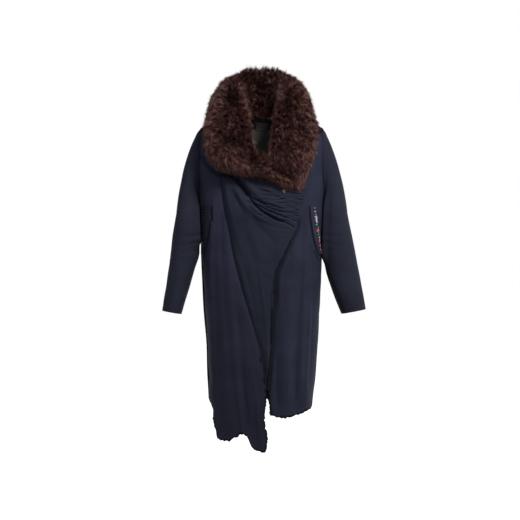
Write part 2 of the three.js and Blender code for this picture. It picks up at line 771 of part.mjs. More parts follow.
function snap() {
  const phi = phiAtX(SNAP.x, SNAP.z);
  const n = normal(phi, SNAP.z);
  const profile = [
    [0, 0],
    [SNAP.radius, 0],
    [SNAP.radius, 1.2],
    [SNAP.radius - 1, 2],
    [SNAP.radius - 2.4, 2.2],
    [SNAP.radius - 4.6, SNAP.height],
    [0, SNAP.height],
  ].map(([x, y]) => new THREE.Vector2(x, y));
  const mesh = new THREE.Mesh(new THREE.LatheGeometry(profile, 24), MATERIAL.metal);
  const lip = Math.max(...[-6, 0, 6].flatMap((dx) => [-6, 0, 6].map((dz) => lift("drape", phiAtX(SNAP.x + dx, SNAP.z + dz), SNAP.z + dz))));
  mesh.position.copy(bare(phi, SNAP.z)).addScaledVector(n, lip + 0.9);
  mesh.quaternion.setFromUnitVectors(new THREE.Vector3(0, 1, 0), n);
  mesh.name = "top_snap";
  return mesh;
}

const coat = new THREE.Group();
coat.name = "parka";
const add = (name, geometry, material) => {
  const mesh = new THREE.Mesh(geometry, material);
  mesh.name = name;
  coat.add(mesh);
};
add("back_panel", backPanel.geometry, MATERIAL.twill);
add("side_front_right", sideFront.geometry, MATERIAL.twill);
add("draped_front_right", drapedFront.geometry, MATERIAL.twill);
add("front_left", plainFront.geometry, MATERIAL.twill);
add("sleeve_left", sleeve(SLEEVE_L, 1, CUFF_TILT.left), MATERIAL.twill);
add("sleeve_right", sleeve(SLEEVE_R, -1, CUFF_TILT.right), MATERIAL.twill);
add("collar_right", geometryOf(whole(rightCollar)), MATERIAL.fur);
add("collar_left", geometryOf(whole(leftCollar)), MATERIAL.fur);
add("neck_facing", facing, MATERIAL.lining);
add("neck_label", label, MATERIAL.label);
add("pocket_band_left", pocketBand(1), MATERIAL.twill);
add("pocket_band_right", pocketBand(-1), MATERIAL.twill);
add("pocket_trim_left", pocketTrim(1), MATERIAL.trim);
add("pocket_trim_right", pocketTrim(-1), MATERIAL.trim);
coat.add(snap());

export default coat;
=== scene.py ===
# The looks of a long wrap-over parka coat with a deep fur shawl collar, hollow as worn.
# Lengths in the tables are in millimetres, as in the part's own source; meshes are in metres.
import math

import bpy
import numpy as np
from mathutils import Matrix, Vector


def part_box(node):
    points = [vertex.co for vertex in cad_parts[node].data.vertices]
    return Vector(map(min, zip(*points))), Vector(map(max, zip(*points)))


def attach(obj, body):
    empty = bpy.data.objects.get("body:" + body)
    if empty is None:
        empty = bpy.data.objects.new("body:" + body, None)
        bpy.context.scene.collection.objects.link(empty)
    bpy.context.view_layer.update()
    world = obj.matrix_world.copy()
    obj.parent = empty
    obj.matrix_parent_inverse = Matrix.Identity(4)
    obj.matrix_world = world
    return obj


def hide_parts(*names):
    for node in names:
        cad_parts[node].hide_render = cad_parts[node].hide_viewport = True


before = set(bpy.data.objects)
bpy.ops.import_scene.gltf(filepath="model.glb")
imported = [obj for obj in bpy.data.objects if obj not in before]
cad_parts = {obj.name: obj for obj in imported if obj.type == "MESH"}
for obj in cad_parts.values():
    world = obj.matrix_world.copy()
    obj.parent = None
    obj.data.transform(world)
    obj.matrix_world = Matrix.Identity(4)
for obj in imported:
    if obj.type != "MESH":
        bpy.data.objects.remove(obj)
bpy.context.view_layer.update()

# ------------------------------------------------------------------ camera
SHOT = {"distance": 6000.0, "x": -6.8, "z": -482.8, "mm_per_px": 3.4}
camera_data = bpy.data.cameras.new("camera")
camera_data.sensor_width = 36
camera_data.lens = 36 * SHOT["distance"] / (520 * SHOT["mm_per_px"])
camera_data.clip_end = 100
camera = bpy.data.objects.new("camera", camera_data)
camera.location = (SHOT["x"] / 1000, -SHOT["distance"] / 1000, SHOT["z"] / 1000)
camera.rotation_euler = (math.pi / 2, 0, 0)
bpy.context.scene.collection.objects.link(camera)
bpy.context.scene.camera = camera


# ------------------------------------------------------------------ tables
def table(columns, rows):
    return {c: np.array([r[i] for r in rows], float) for i, c in enumerate(columns)}


BODY = table(
    ["z", "left", "right", "front", "back", "power"],
    [
        [0, 72, 72, 56, 66, 2.0],
        [-9, 106, 106, 66, 73, 2.05],
        [-18, 140, 140, 74, 79, 2.1],
        [-27, 173, 172, 80, 84, 2.15],
        [-36, 206, 204, 84, 88, 2.2],
        [-60, 213, 211, 94, 96, 2.35],
        [-100, 219, 213, 106, 103, 2.5],
        [-160, 221, 213, 119, 110, 2.6],
        [-230, 218, 212, 129, 112, 2.6],
        [-300, 213, 209, 131, 110, 2.55],
        [-350, 210, 206, 129, 107, 2.5],
        [-448, 207, 203, 127, 105, 2.45],
        [-571, 204, 200, 128, 114, 2.4],
        [-673, 197, 194, 130, 119, 2.4],
        [-775, 190, 189, 129, 121, 2.4],
        [-857, 187, 183, 127, 121, 2.4],
        [-938, 186, 174, 125, 120, 2.4],
        [-1040, 180, 168, 123, 119, 2.4],
        [-1150, 170, 163, 121, 118, 2.4],
    ],
)
NECKLINE = table(["z", "x"], [[0, 72], [-40, 62], [-80, 48], [-120, 30], [-160, 8]])
SHAPED_SEAM = table(
    ["z", "x"],
    [
        [-18, -130], [-150, -143], [-205, -140], [-289, -128], [-372, -113], [-448, -101], [-552, -75], [-635, -51],
        [-741, -19], [-830, 1], [-900, 11], [-940, 14], [-1012, 9], [-1086, 19], [-1140, 7],
    ],
)
WRAP_EDGE = table(
    ["z", "x"],
    [
        [-160, -8], [-190, 44], [-220, 98], [-240, 132], [-250, 142], [-290, 135], [-320, 122], [-365, 115],
        [-400, 104], [-440, 87], [-493, 60], [-545, 44], [-620, 42], [-680, 33], [-775, 33], [-850, 24], [-930, 16],
    ],
)
UNDER_EDGE = table(
    ["z", "x"],
    [
        [-160, 8], [-200, -10], [-260, -25], [-330, -34], [-450, -34], [-560, -28], [-660, -18], [-740, -9],
        [-830, 6], [-890, 14], [-944, 19], [-975, 25], [-1020, 31],
    ],
)
FREE_EDGE = table(
    ["z", "x"],
    [
        [-938, -190], [-952, -184], [-972, -172], [-992, -165], [-1012, -166], [-1032, -162], [-1052, -156],
        [-1080, -152],
    ],
)
HEM_LONG = table(
    ["x", "z"],
    [
        [-152, -1081], [-124, -1089], [-96, -1077], [-74, -1065], [-60, -1069], [-48, -1094], [-26, -1118],
        [7, -1124],
    ],
)
HEM_SHORT = table(["x", "z"], [[31, -1003], [77, -1009], [125, -997], [165, -980]])
HEM_BACK = table(["x", "z"], [[-186, -952], [-120, -958], [0, -962], [120, -970], [165, -979]])
SLIT_TOP = -918
HEM_END = -1140

ARM = {"middle": -168, "tall": 132, "deep": 52}
SLEEVE_COLUMNS = ["z", "out", "in", "front", "back", "power"]
SLEEVE_L = table(
    SLEEVE_COLUMNS,
    [
        [-330, 290, 210, -70, 64, 2.4], [-380, 300, 208, -70, 61, 2.4], [-448, 314, 207.5, -68, 55, 2.35],
        [-510, 325, 216, -70, 48, 2.3], [-571, 336, 235, -73, 37, 2.2], [-620, 345, 253, -75, 27, 2.2],
        [-656, 351, 268, -76, 20, 2.2],
    ],
)
SLEEVE_R = table(
    SLEEVE_COLUMNS,
    [
        [-330, 291, 214, -70, 64, 2.4], [-380, 300, 212, -70, 61, 2.4], [-448, 308, 212, -68, 55, 2.35],
        [-510, 315, 229, -70, 48, 2.3], [-571, 323, 246, -73, 37, 2.2], [-620, 332, 261, -75, 27, 2.2],
        [-659, 338, 272, -76, 20, 2.2],
    ],
)
CUFF_TILT = {"left": 8, "right": 6}

COLLAR_COLUMNS = ["ix", "iy", "iz", "ox", "oy", "oz", "nx", "ny", "nz", "swell", "sink"]
COLLAR_NECK = [
    [0, 62, 4, 0, 160, -44, 0, 0.06, 1, 208, 34],
    [36, 55, 4, 86, 148, -46, 0.02, 0.05, 1, 199, 34],
    [56, 34, 3, 150, 106, -48, 0.02, 0.02, 1, 182, 30],
    [56, -2, 0, 188, 44, -48, 0.03, -0.08, 1, 156, 22],
    [47, -50, -12, 194, -22, -52, 0.0, -0.42, 0.9, 124, 18],
]
COLLAR_LEFT_FRONT = [
    [30, -86, -30, 191, -72, -68, -0.04, -0.74, 0.67, 86, 16],
    [20, -108, -70, 188, -100, -106, 0, -0.92, 0.4, 66, 16],
    [13, -120, -106, 178, -118, -145, 0, -0.98, 0.2, 56, 16],
    [14, -126, -138, 167, -122, -180, 0, -1, 0.12, 50, 16],
    [44, -128, -168, 154, -120, -212, 0, -1, 0.08, 42, 16],
    [90, -124, -196, 146, -110, -236, 0, -1, 0.05, 30, 16],
]
COLLAR_RIGHT_FRONT = [
    [32, -86, -30, 194, -72, -66, 0, -0.74, 0.67, 88, 16],
    [24, -108, -74, 190, -102, -106, 0, -0.92, 0.4, 70, 16],
    [14, -120, -112, 176, -120, -154, 0, -0.98, 0.2, 62, 16],
    [2, -126, -140, 132, -128, -182, 0, -1, 0.14, 56, 16],
    [-18, -130, -158, 66, -132, -198, 0, -1, 0.1, 52, 16],
    [-46, -131, -172, -10, -132, -216, 0, -1, 0.1, 46, 16],
    [-80, -129, -192, -54, -130, -233, 0, -1, 0.1, 40, 16],
    [-114, -123, -204, -98, -124, -240, 0.1, -1, 0.1, 34, 16],
    [-142, -114, -210, -134, -114, -243, 0.2, -1, 0.1, 24, 16],
]
LEAN = [0, 0.02, 0.04, 0.09, 0.07]
SLEEVE_REST = {"clear": 2.6, "left": -486, "right": -430}
POCKET = table(
    ["z", "mouth", "trim", "trim_right"],
    [
        [-303, 45, 53, 63], [-332, 47, 56, 65], [-364, 50, 60, 67.5], [-395, 53, 64, 70], [-420, 57, 68, 73.5],
        [-444, 63, 73, 77.5], [-464, 69, 78, 82],
    ],
)
SNAP = {"x": 71, "z": -254, "radius": 6.5}


# ------------------------------------------------------------------ small tools
class Curve:
    """A value read between a table's rows, smooth and without overshoot."""

    def __init__(self, rows, by, column):
        x, y = np.array(rows[by], float), np.array(rows[column], float)
        if x[0] > x[-1]:
            x, y = x[::-1], y[::-1]
        s = np.diff(y) / np.diff(x)
        m = np.zeros_like(y)
        m[0], m[-1] = s[0], s[-1]
        a, b = s[:-1], s[1:]
        m[1:-1] = np.where(a * b <= 0, 0, 2 * a * b / np.where(a + b == 0, 1, a + b))
        self.x, self.y, self.m = x, y, m

    def __call__(self, at):
        at = np.clip(np.asarray(at, float), self.x[0], self.x[-1])
        k = np.clip(np.searchsorted(self.x, at, side="right") - 1, 0, len(self.x) - 2)
        h = self.x[k + 1] - self.x[k]
        t = (at - self.x[k]) / h
        return (
            (2 * t**3 - 3 * t**2 + 1) * self.y[k]
            + (t**3 - 2 * t**2 + t) * h * self.m[k]
            + (3 * t**2 - 2 * t**3) * self.y[k + 1]
            + (t**3 - t**2) * h * self.m[k + 1]
        )


def ease(t):
    t = np.clip(t, 0, 1)
    return t * t * (3 - 2 * t)


def mix(a, b, t):
    return a + (b - a) * t


def power(v, e):
    return np.sign(v) * np.abs(v) ** e


def unit(v):
    return v / np.maximum(np.linalg.norm(v, axis=-1, keepdims=True), 1e-9)


def wobble(x, y, size, seed):
    """Smooth unevenness from -1 to 1 over features of about that size."""
    rng = np.random.default_rng(seed)
    total = np.zeros(np.broadcast(x, y).shape)
    for _ in range(9):
        angle, phase = rng.uniform(0, 2 * math.pi, 2)
        k = 2 * math.pi / (size * rng.uniform(0.7, 1.6))
        total += np.sin(k * (x * math.cos(angle) + y * math.sin(angle)) + phase)
    return total / 4


sections = {c: Curve(BODY, "z", c) for c in ("left", "right", "front", "back", "power")}
neckline, shaped_seam = Curve(NECKLINE, "z", "x"), Curve(SHAPED_SEAM, "z", "x")
wrap_edge_low, under_edge_low = Curve(WRAP_EDGE, "z", "x"), Curve(UNDER_EDGE, "z", "x")
free_edge_x = Curve(FREE_EDGE, "z", "x")


def wrap_edge(z):
    return np.where(z > -160, -neckline(z), wrap_edge_low(z))


def under_edge(z):
    return np.where(z > -160, neckline(z), under_edge_low(z))


def bare(phi, z):
    phi, z = np.broadcast_arrays(np.asarray(phi, float), np.asarray(z, float))
    s = {c: f(z) for c, f in sections.items()}
    sn, cs = np.sin(phi), np.cos(phi)
    return np.stack(
        [
            np.where(sn >= 0, s["right"], s["left"]) * power(sn, 2 / s["power"]),
            -np.where(cs >= 0, s["front"], s["back"]) * power(cs, 2 / s["power"]),
            z,
        ],
        -1,
    )


def normal(phi, z):
    d = 0.012
    across = bare(phi + d, z) - bare(phi - d, z)
    down = bare(phi, np.maximum(z - 4, HEM_END - 20)) - bare(phi, np.minimum(z + 4, 0))
    return -unit(np.cross(across, down))


def phi_at_x(x, z):
    x, z = np.broadcast_arrays(np.asarray(x, float), np.asarray(z, float))
    wide = np.where(x >= 0, sections["right"](z), sections["left"](z))
    return np.sign(x) * np.arcsin(np.clip(np.abs(x) / wide, 0, 1) ** (sections["power"](z) / 2))


def phi_at_y(y, z, half):
    c = np.clip(np.abs(y) / sections[half](z), 0, 1) ** (sections["power"](z) / 2)
    return np.arccos(c) if half == "front" else np.pi - np.arccos(c)


def arm_depth(z):
    t = (np.asarray(z, float) - ARM["middle"]) / ARM["tall"]
    return ARM["deep"] * np.sqrt(np.clip(1 - t * t, 0, None))


def side(z, half):
    return phi_at_y(arm_depth(z) + 0.15, z, half)


def per_mm(phi, z):
    return 0.02 / np.linalg.norm(bare(phi + 0.01, z) - bare(phi - 0.01, z), axis=-1)


# ------------------------------------------------------------------ folds
def seen(px, py, deep=-127.0):
    """Where a place in the 520-pixel picture lies on the front of the coat, in mm."""
    f = SHOT["distance"] / (SHOT["distance"] + deep)
    across = (np.asarray(px, float) - 262) * SHOT["mm_per_px"]
    up = (118 - np.asarray(py, float)) * SHOT["mm_per_px"]
    return np.stack([SHOT["x"] + (across - SHOT["x"]) / f, SHOT["z"] + (up - SHOT["z"]) / f], -1)


def smooth_line(points, per=7):
    """A rounded line through the points (Catmull-Rom)."""
    p = np.array(points, float)
    p = np.vstack([2 * p[0] - p[1], p, 2 * p[-1] - p[-2]])
    out = []
    for i in range(1, len(p) - 2):
        a, b, c, d = p[i - 1 : i + 3]
        for t in np.linspace(0, 1, per, endpoint=False):
            out.append(0.5 * (2 * b + (c - a) * t + (2 * a - 5 * b + 4 * c - d) * t**2 + (3 * b - a - 3 * c + d) * t**3))
    out.append(p[-2])
    return np.array(out)


def fold(x, z, line, start, end, left, right, lead=0.18, trail=0.2, sharp=False):
    """How far the cloth stands off along a line: height from start to end, width to the left and right of its run."""
    line = smooth_line(line)
    reach = 3.2 * max(left, right) * (1.6 if sharp else 1)
    lo, hi = line.min(0) - reach, line.max(0) + reach
    inside = (x > lo[0]) & (x < hi[0]) & (z > lo[1]) & (z < hi[1])
    out = np.zeros_like(x)
    if not inside.any():
        return out
    q = np.stack([x[inside], z[inside]], -1)
    a, b = line[:-1], line[1:]
    ab = b - a
    length = np.linalg.norm(ab, axis=1)
    run = np.concatenate([[0], np.cumsum(length)])
    best = np.full(len(q), 1e9)
    signed = np.zeros(len(q))
    where = np.zeros(len(q))
    for k in range(len(a)):
        t = np.clip(((q - a[k]) @ ab[k]) / max(length[k] ** 2, 1e-9), 0, 1)
        off = q - (a[k] + t[:, None] * ab[k])
        d = np.hypot(off[:, 0], off[:, 1])
        closer = d < best
        best = np.where(closer, d, best)
        cross = ab[k][0] * off[:, 1] - ab[k][1] * off[:, 0]
        signed = np.where(closer, np.sign(cross) * d, signed)
        where = np.where(closer, (run[k] + t * length[k]) / run[-1], where)
    width = np.where(signed > 0, left, right)
    shape = np.exp(-np.abs(signed) / width) if sharp else np.exp(-((signed / width) ** 2))
    size = mix(start, end, where) * ease(where / lead + 0.02) * ease((1 - where) / trail + 0.02)
    out[inside] = size * shape
    return out


# Each fold: points in the picture, height at its start and end (mm, below 0 is a trough),
# widths to the left and right of its run (mm), sharp or not.
DRAPE_FOLDS = [
    ([(216, 171), (224, 174), (232, 176.6), (240, 179)], -14, -13, 7, 6.5, False),
    # the swag: a deep valley from under the fur, with a brow over it and a soft lip below
    ([(224, 163), (230, 171.5), (236.5, 179.5), (242, 187), (247, 194), (252, 199.4)], -35, -22, 6.2, 6.0, False),
    ([(248.4, 203.2), (253.6, 209), (260.6, 214), (268, 217.8), (276, 221)], 2.8, 2.2, 4.0, 4.0, False),
    ([(251, 197.6), (255, 199.8), (259, 201.6), (264, 203.6), (269, 205.6)], -8, -4, 3.4, 3.2, False),
    ([(247.5, 195), (251, 200.2), (254.6, 204.4), (258.6, 208.4), (263.4, 211.9), (268.6, 215), (274.4, 218.6), (280.4, 220.9), (288, 223)], -15, -12, 4.0, 3.4, False),
    ([(238, 170), (246, 181), (253, 190), (260, 196.5), (268, 201), (278, 205), (290, 209)], 9, 4, 13, 11, False),
    ([(226, 178), (234, 190), (241, 199), (248, 208), (255, 215), (262, 219.4), (270, 223), (279, 226)], 5, 5.5, 9, 8, False),
    # thin lines beside its turn
    ([(247.6, 200.6), (249.6, 203.4), (252.4, 206.2)], -4.5, -4, 1.9, 1.9, False),
    ([(248.6, 202.6), (253, 207.6), (258, 211.6), (264, 215)], 3.2, 3.0, 2.4, 2.4, False),
    # folds that run from the turn to the edge
    ([(256, 203.4), (260.4, 206.6), (265.4, 209.2), (271, 211.8), (277, 214.2), (283, 216.4), (290, 218.4)], -7, -5, 2.3, 2.2, False),
    ([(257, 206.4), (262, 209.6), (268, 212.6), (274, 215.6), (281, 218.2), (289, 220)], 4, 3.4, 2.4, 2.2, False),
    ([(263, 205.4), (268, 207.6), (274, 209.6), (280, 211.6), (288, 213.4)], -5, -4, 2.2, 2.2, False),
    ([(266, 203.2), (272, 205.4), (279, 207.6), (287, 208.8)], -3.4, -2.4, 2.2, 2.2, False),
    ([(262, 199.4), (267, 199.6), (272, 200.4)], -4, -3, 2.2, 2.2, False),
    ([(258, 202.6), (262, 203.4), (266, 204.4)], -3, -3, 2.4, 2.4, False),
    # drawn by the fur's lower edge
    ([(257, 180), (263, 182.6), (270, 186.4), (277, 189.6), (284, 191.6), (293, 193.2), (303, 194.6)], -1.4, -3.2, 3.0, 2.6, False),
    ([(252, 184), (260, 187), (268, 190.4), (277, 193)], 3, 2.6, 6, 5, False),
    ([(257, 190.4), (264, 191), (271, 192.8)], -2.6, -3, 2.4, 2.4, False),
    ([(258, 195), (265, 195.6), (272, 196.4)], -2.4, -2.4, 2.6, 2.6, False),
    ([(272, 195.4), (276, 196.6), (280, 197)], -4, -3, 2.2, 2.2, False),
    ([(279, 198.6), (284, 199.4), (289, 199)], -4.5, -3, 2.2, 2.2, False),
    ([(276, 203), (281, 203.4), (287, 203.2)], -3.4, -3.4, 2, 2, False),
    # softer ones below
    ([(248, 208), (252, 213), (258, 218.6), (265, 222), (271, 224.4), (279, 226.8)], -2.6, -1.8, 5.5, 8, False),
    ([(250, 214), (257, 224), (264, 232), (271.4, 239.5), (280, 247)], -3, -2.4, 10, 12, False),
    ([(284, 222.4), (289, 224.6), (295, 228)], -4, -4, 3, 3, False),
    ([(246, 222), (252, 236), (258, 250), (264, 266)], 4, 2, 14, 16, False),
    ([(272, 227.6), (280, 228.4), (292, 229)], -1.2, -1.5, 2.8, 2.8, False),
    ([(277, 233), (285, 234), (293, 234.4)], -0.8, -1.1, 2.8, 2.8, False),
    ([(281, 237.6), (286, 238.6), (292, 238.4)], -0.6, -0.9, 2.8, 2.8, False),
    # drags from the shoulder
    ([(229.5, 176), (232, 186), (236.5, 198), (240.5, 207), (247, 222)], -3.6, -1.2, 4.6, 5.4, False),
    ([(226, 176), (229, 200), (236, 230), (246, 262)], 4, 2.5, 8, 10, False),
    ([(236, 186), (239.5, 194), (243, 201)], 3.5, 2.5, 5, 5, False),
    ([(232, 196), (238, 222), (248, 256), (256, 290)], 3.5, 1.5, 10, 14, False),
    ([(243, 262), (252, 300), (260, 340), (263, 372)], -2, -1.8, 9, 8, False),
    ([(258, 262), (263, 300), (267, 340), (267.6, 380)], 2.4, 2, 9, 6, False),
    ([(276, 262), (271, 290), (270, 330), (269.6, 362)], -2.4, -3, 4.5, 3.6, False),
    # snaps felt through from the layer below
    ([(278.4, 250), (279.6, 250)], 2.2, 2.2, 4.6, 4.6, False),
    ([(271.2, 277), (272.4, 277)], 2.2, 2.2, 4.6, 4.6, False),
    ([(267.6, 309), (268.8, 309)], 1.8, 1.8, 4.6, 4.6, False),
    ([(266.2, 343), (267.4, 343)], 1.8, 1.8, 4.6, 4.6, False),
]
# Small pleats let into the wrap's edge: picture row at the edge, run, depth.
PLEATS = [
    (193.9, 0.35, 1.0, 0.4), (196.2, 0.55, 1.5, 0.9), (199.8, 0.30, 2.8, -0.5), (202.4, 0.75, 1.0, 0.6), (204.6, 0.45, 1.8, -0.7),
    (207.2, 0.72, 1.2, 0.5), (210.4, 0.50, 2.0, -0.8), (213.2, 0.70, 1.3, 0.5), (215.6, 0.62, 2.2, -0.3), (217.9, 0.30, 1.1, 0.4),
    (220.8, 0.22, 3.0, 0.2),
]
SIDE_FOLDS = [
    ([(199, 152), (204, 160), (210, 167), (217, 172), (224, 174.6)], -9, -14, 9, 7, False),
    ([(221, 250), (222.6, 310), (226, 380), (229, 440)], 3.6, 4.6, 13, 13, False),
    ([(236, 300), (240, 350), (244, 400), (246, 440)], -3.2, -4.2, 12, 12, False),
    ([(216.5, 178), (213, 212), (210.5, 262), (212, 340), (216, 420)], 4, 5, 9, 12, False),
    ([(210, 208), (211.4, 215), (213, 224)], -4.4, -3.6, 3.4, 3.4, False),
    ([(202.4, 219), (202.2, 226), (202.4, 236)], -3.6, -3, 3.4, 3.4, False),
    ([(223, 186), (221, 224), (223, 290), (228, 360)], -2.6, -2, 8, 9, False),
    ([(228, 230), (230, 290), (236, 350), (240, 430)], 3, 5, 12, 13, False),
    ([(232, 330), (240, 372), (247, 412), (250, 440)], -1.6, -2, 9, 8, False),
    ([(250, 366), (256, 396), (258, 424), (261, 448)], 2.4, 3.4, 7, 7, False),
    ([(218, 380), (222, 410), (224.5, 440)], -1.4, -2.4, 7, 7, False),
    ([(230, 384), (233, 412), (234, 438)], 1, 2.4, 8, 8, False),
    ([(239, 398), (241, 420), (243, 438)], 1, 2, 5, 5, False),
    ([(200.5, 246), (201, 300), (204, 370), (206, 420)], -6, -7, 16, 16, False),
]
UNDER_FOLDS = [
    ([(289, 262), (287.4, 310), (286, 360), (286.5, 414)], 3.2, 6.0, 12, 12, False),
    ([(300, 280), (298, 330), (296.6, 380), (297, 414)], -2.8, -5.0, 10, 10, False),
    ([(311, 262), (309.6, 320), (307, 380), (304.6, 412)], 3.2, 5.0, 10, 10, False),
    ([(276.5, 292), (275.6, 330), (275.6, 370), (277, 414)], -3.0, -4.0, 9, 9, False),
    ([(314.5, 250), (317.4, 256), (320.6, 263)], -6, -7, 2.6, 3.0, False),
    ([(309, 176), (308, 210), (306, 262), (303, 330), (300, 410)], 3.5, 4, 9, 10, False),
    ([(288, 250), (292, 257), (298, 263.5)], -2.2, -1.2, 4, 5, False),
    ([(297, 226), (294, 262), (290, 330), (288, 410)], 2.6, 3.4, 10, 11, False),
    ([(303, 240), (300.5, 300), (297, 360), (295, 414)], -2.6, -3, 8, 8, False),
    ([(279, 300), (277, 350), (277, 410)], -2, -3, 7, 7, False),
    ([(284, 300), (283, 350), (282.5, 412)], 1.6, 3, 7, 7, False),
    ([(315, 262), (312, 330), (308, 400)], -3, -3, 6, 6, False),
]
# On the back, in mm across and up.
BACK_FOLDS = [
    ([(-128, -170), (-134, -420), (-122, -700), (-126, -955)], 6, 9, 15, 16, False),
    ([(-86, -240), (-80, -500), (-84, -740), (-78, -958)], -5, -7, 14, 13, False),
    ([(-36, -330), (-44, -560), (-34, -960)], 3, 7, 16, 15, False),
    ([(6, -250), (0, -520), (4, -960)], -3, -6, 14, 15, False),
    ([(44, -300), (50, -600), (40, -962)], 4, 7, 15, 16, False),
    ([(84, -220), (78, -480), (88, -760), (80, -966)], -5, -7, 13, 12, False),
    ([(134, -170), (124, -430), (130, -700), (122, -970)], 6, 8, 15, 15, False),
    ([(-172, -330), (-166, -600), (-160, -940)], -4, -4, 9, 9, False),
    ([(172, -330), (166, -600), (156, -950)], -4, -4, 9, 9, False),
    ([(-60, -120), (0, -138), (64, -118)], -3, -3, 10, 14, False),
    ([(-110, -228), (-40, -252), (24, -244)], -2.5, -2, 9, 12, False),
    ([(-20, -330), (50, -322), (112, -300)], 2.5, 2.5, 10, 12, False),
]


def fold_sum(folds, x, z, picture=True):
    total = np.zeros_like(x)
    for line, start, end, left, right, sharp in folds:
        points = seen(*np.array(line).T) if picture else np.array(line, float)
        total += fold(x, z, points, start, end, left, right, sharp=sharp)
    return total


def lift(piece, x, z):
    """How far a piece's cloth stands off the bare form, in mm."""
    if piece == "back":
        hem = ease((-840 - z) / 120)
        return (
            fold_sum(BACK_FOLDS, x, z, picture=False)
            + 1.3 * wobble(x, z, 120, 4)
            + 3.0 * hem * np.sin(x / 13.0 + 0.8 * np.sin(x / 31.0))
        )
    near_seam = np.exp(-(np.abs((x - shaped_seam(z)) / 6.0) ** 1.5))
    if piece == "side":
        hem = ease((-930 - z) / 130)
        return (
            fold_sum(SIDE_FOLDS, x, z)
            + 1.2 * wobble(x, z, 90, 2)
            - 5.6 * near_seam * ease((z - SLIT_TOP) / 30)
            + 1.3 * hem * np.sin(x / 8.5 + 1.3 + 0.7 * np.sin(x / 19.0))
        )
    if piece == "drape":
        over = ease((x - shaped_seam(z)) / 20) * ease((z - SLIT_TOP + 4) / 60)
        folds = fold_sum(DRAPE_FOLDS, x, z)
        edge = wrap_edge(z)
        for row, run, depth, bend in PLEATS:
            foot = np.array([301 - (row - 194) * 0.22, row])
            turn = np.array([256 + (row - 194) * 0.1, 197 + (row - 194) * 0.42])
            way = [foot + (turn - foot) * run * q + (0, bend * math.sin(5 * q) - 1.1 * run * math.sin(math.pi * q)) for q in (1, 0.72, 0.45, 0.2)]
            line = seen(*np.array([*way, foot, foot + (3, 0.2)]).T)
            folds += fold(x, z, line, -0.5 * depth, -1.6 * depth, 2.0, 2.5, lead=0.5, trail=0.02)
        # the crinkle of the gathers
        low, high = seen(254, 224), seen(303, 193)
        zone = ease((x - low[0]) / 30) * ease((high[0] + 4 - x) / 8) * ease((z - low[1]) / 22) * ease((high[1] - z) / 14)
        folds += zone * (
            0.75 * np.sin(z / 1.55 + 1.9 * np.sin(x / 13.0) + 1.2 * np.sin(x / 5.1 + z / 7.0))
            + 0.55 * np.sin(z / 2.6 - x / 10.0 + 1.6 * np.sin(x / 8.3 + 2.0))
        )
        # the edge rolls up a little, and flutters between the pleats
        rim = np.exp(-((edge - x) / 9.0)) * ease((-236 - z) / 30) * mix(0.35, 1.0, ease((-330 - z) / 50))
        over = over * (1 - 0.75 * np.exp(-((edge - x) / 16.0)) * (1 - ease((-330 - z) / 50)))
        folds += rim * (1.8 + 0.9 * np.sin(z / 4.7 + 1.1 * np.sin(z / 23.0)) * ease((-250 - z) / 10) * ease((z + 420) / 70))
        swag = 9.0 * np.exp(-(((x + 20) / 110) ** 2) - ((z + 300) / 85) ** 2)
        total = 4.5 * over + swag + folds + 0.9 * wobble(x, z, 70, 3) * over - 4.6 * near_seam
        floor = mix(-30.0, -5.0, ease((x - under_edge(z) + 30) / 24))
        gap = total - floor  # soft stop against the layer below
        return floor + np.where(gap > 2, gap, 2 * np.exp(np.clip(gap / 2 - 1, -30, 0)))
    covered = np.where(z > -160, 0, ease((wrap_edge(z) + 19 - x) / 19))
    close = 1 - ease((-330 - z) / 50)  # 1 where the layers lie together at the edge
    inward = ease((wrap_edge(z) - 6 - x) / 34)
    deep = mix(14.0 * covered, 9.5 * inward + 1.5 * covered, close) * ease((-160 - z) / 30) * ease((z + 985) / 40)
    hem = ease((-850 - z) / 130)
    loose = fold_sum(UNDER_FOLDS, x, z) + 1.1 * wobble(x, z, 100, 5)
    return loose * (1 - covered) - deep + 2.4 * hem * np.sin(x / 11.0 + 0.6 + 0.6 * np.sin(x / 23.0)) * (1 - covered)


# ------------------------------------------------------------------ cloth meshes
def grid_normals(p, around=False):
    if around:
        du = np.roll(p, -1, 1) - np.roll(p, 1, 1)
    else:
        du = np.gradient(p, axis=1)
    return unit(np.cross(du, np.gradient(p, axis=0)))


def turned(p, n, at, radius=0.9, deep=13.0):
    """Adds the cloth's turned edge along one border of a grid: round the edge and back inside."""
    p, n = (np.swapaxes(a, 0, 1) if at in ("left", "right") else a for a in (p, n))
    if at in ("top", "left"):
        p, n = p[::-1], n[::-1]
    out = unit(p[-1] - p[-3])
    q = n[-1]
    rows = [p[-1] + out * radius * math.sin(a) - q * radius * (1 - math.cos(a)) for a in (math.pi / 3, 2 * math.pi / 3, math.pi)]
    rows += [p[-1] - out * d - q * (2 * radius + 0.1) for d in (deep * 0.35, deep)]
    p = np.concatenate([p, np.array(rows)])
    n = np.concatenate([n, np.repeat(q[None], len(rows), 0)])
    if at in ("top", "left"):
        p, n = p[::-1], n[::-1]
    return tuple(np.swapaxes(a, 0, 1) if at in ("left", "right") else a for a in (p, n))


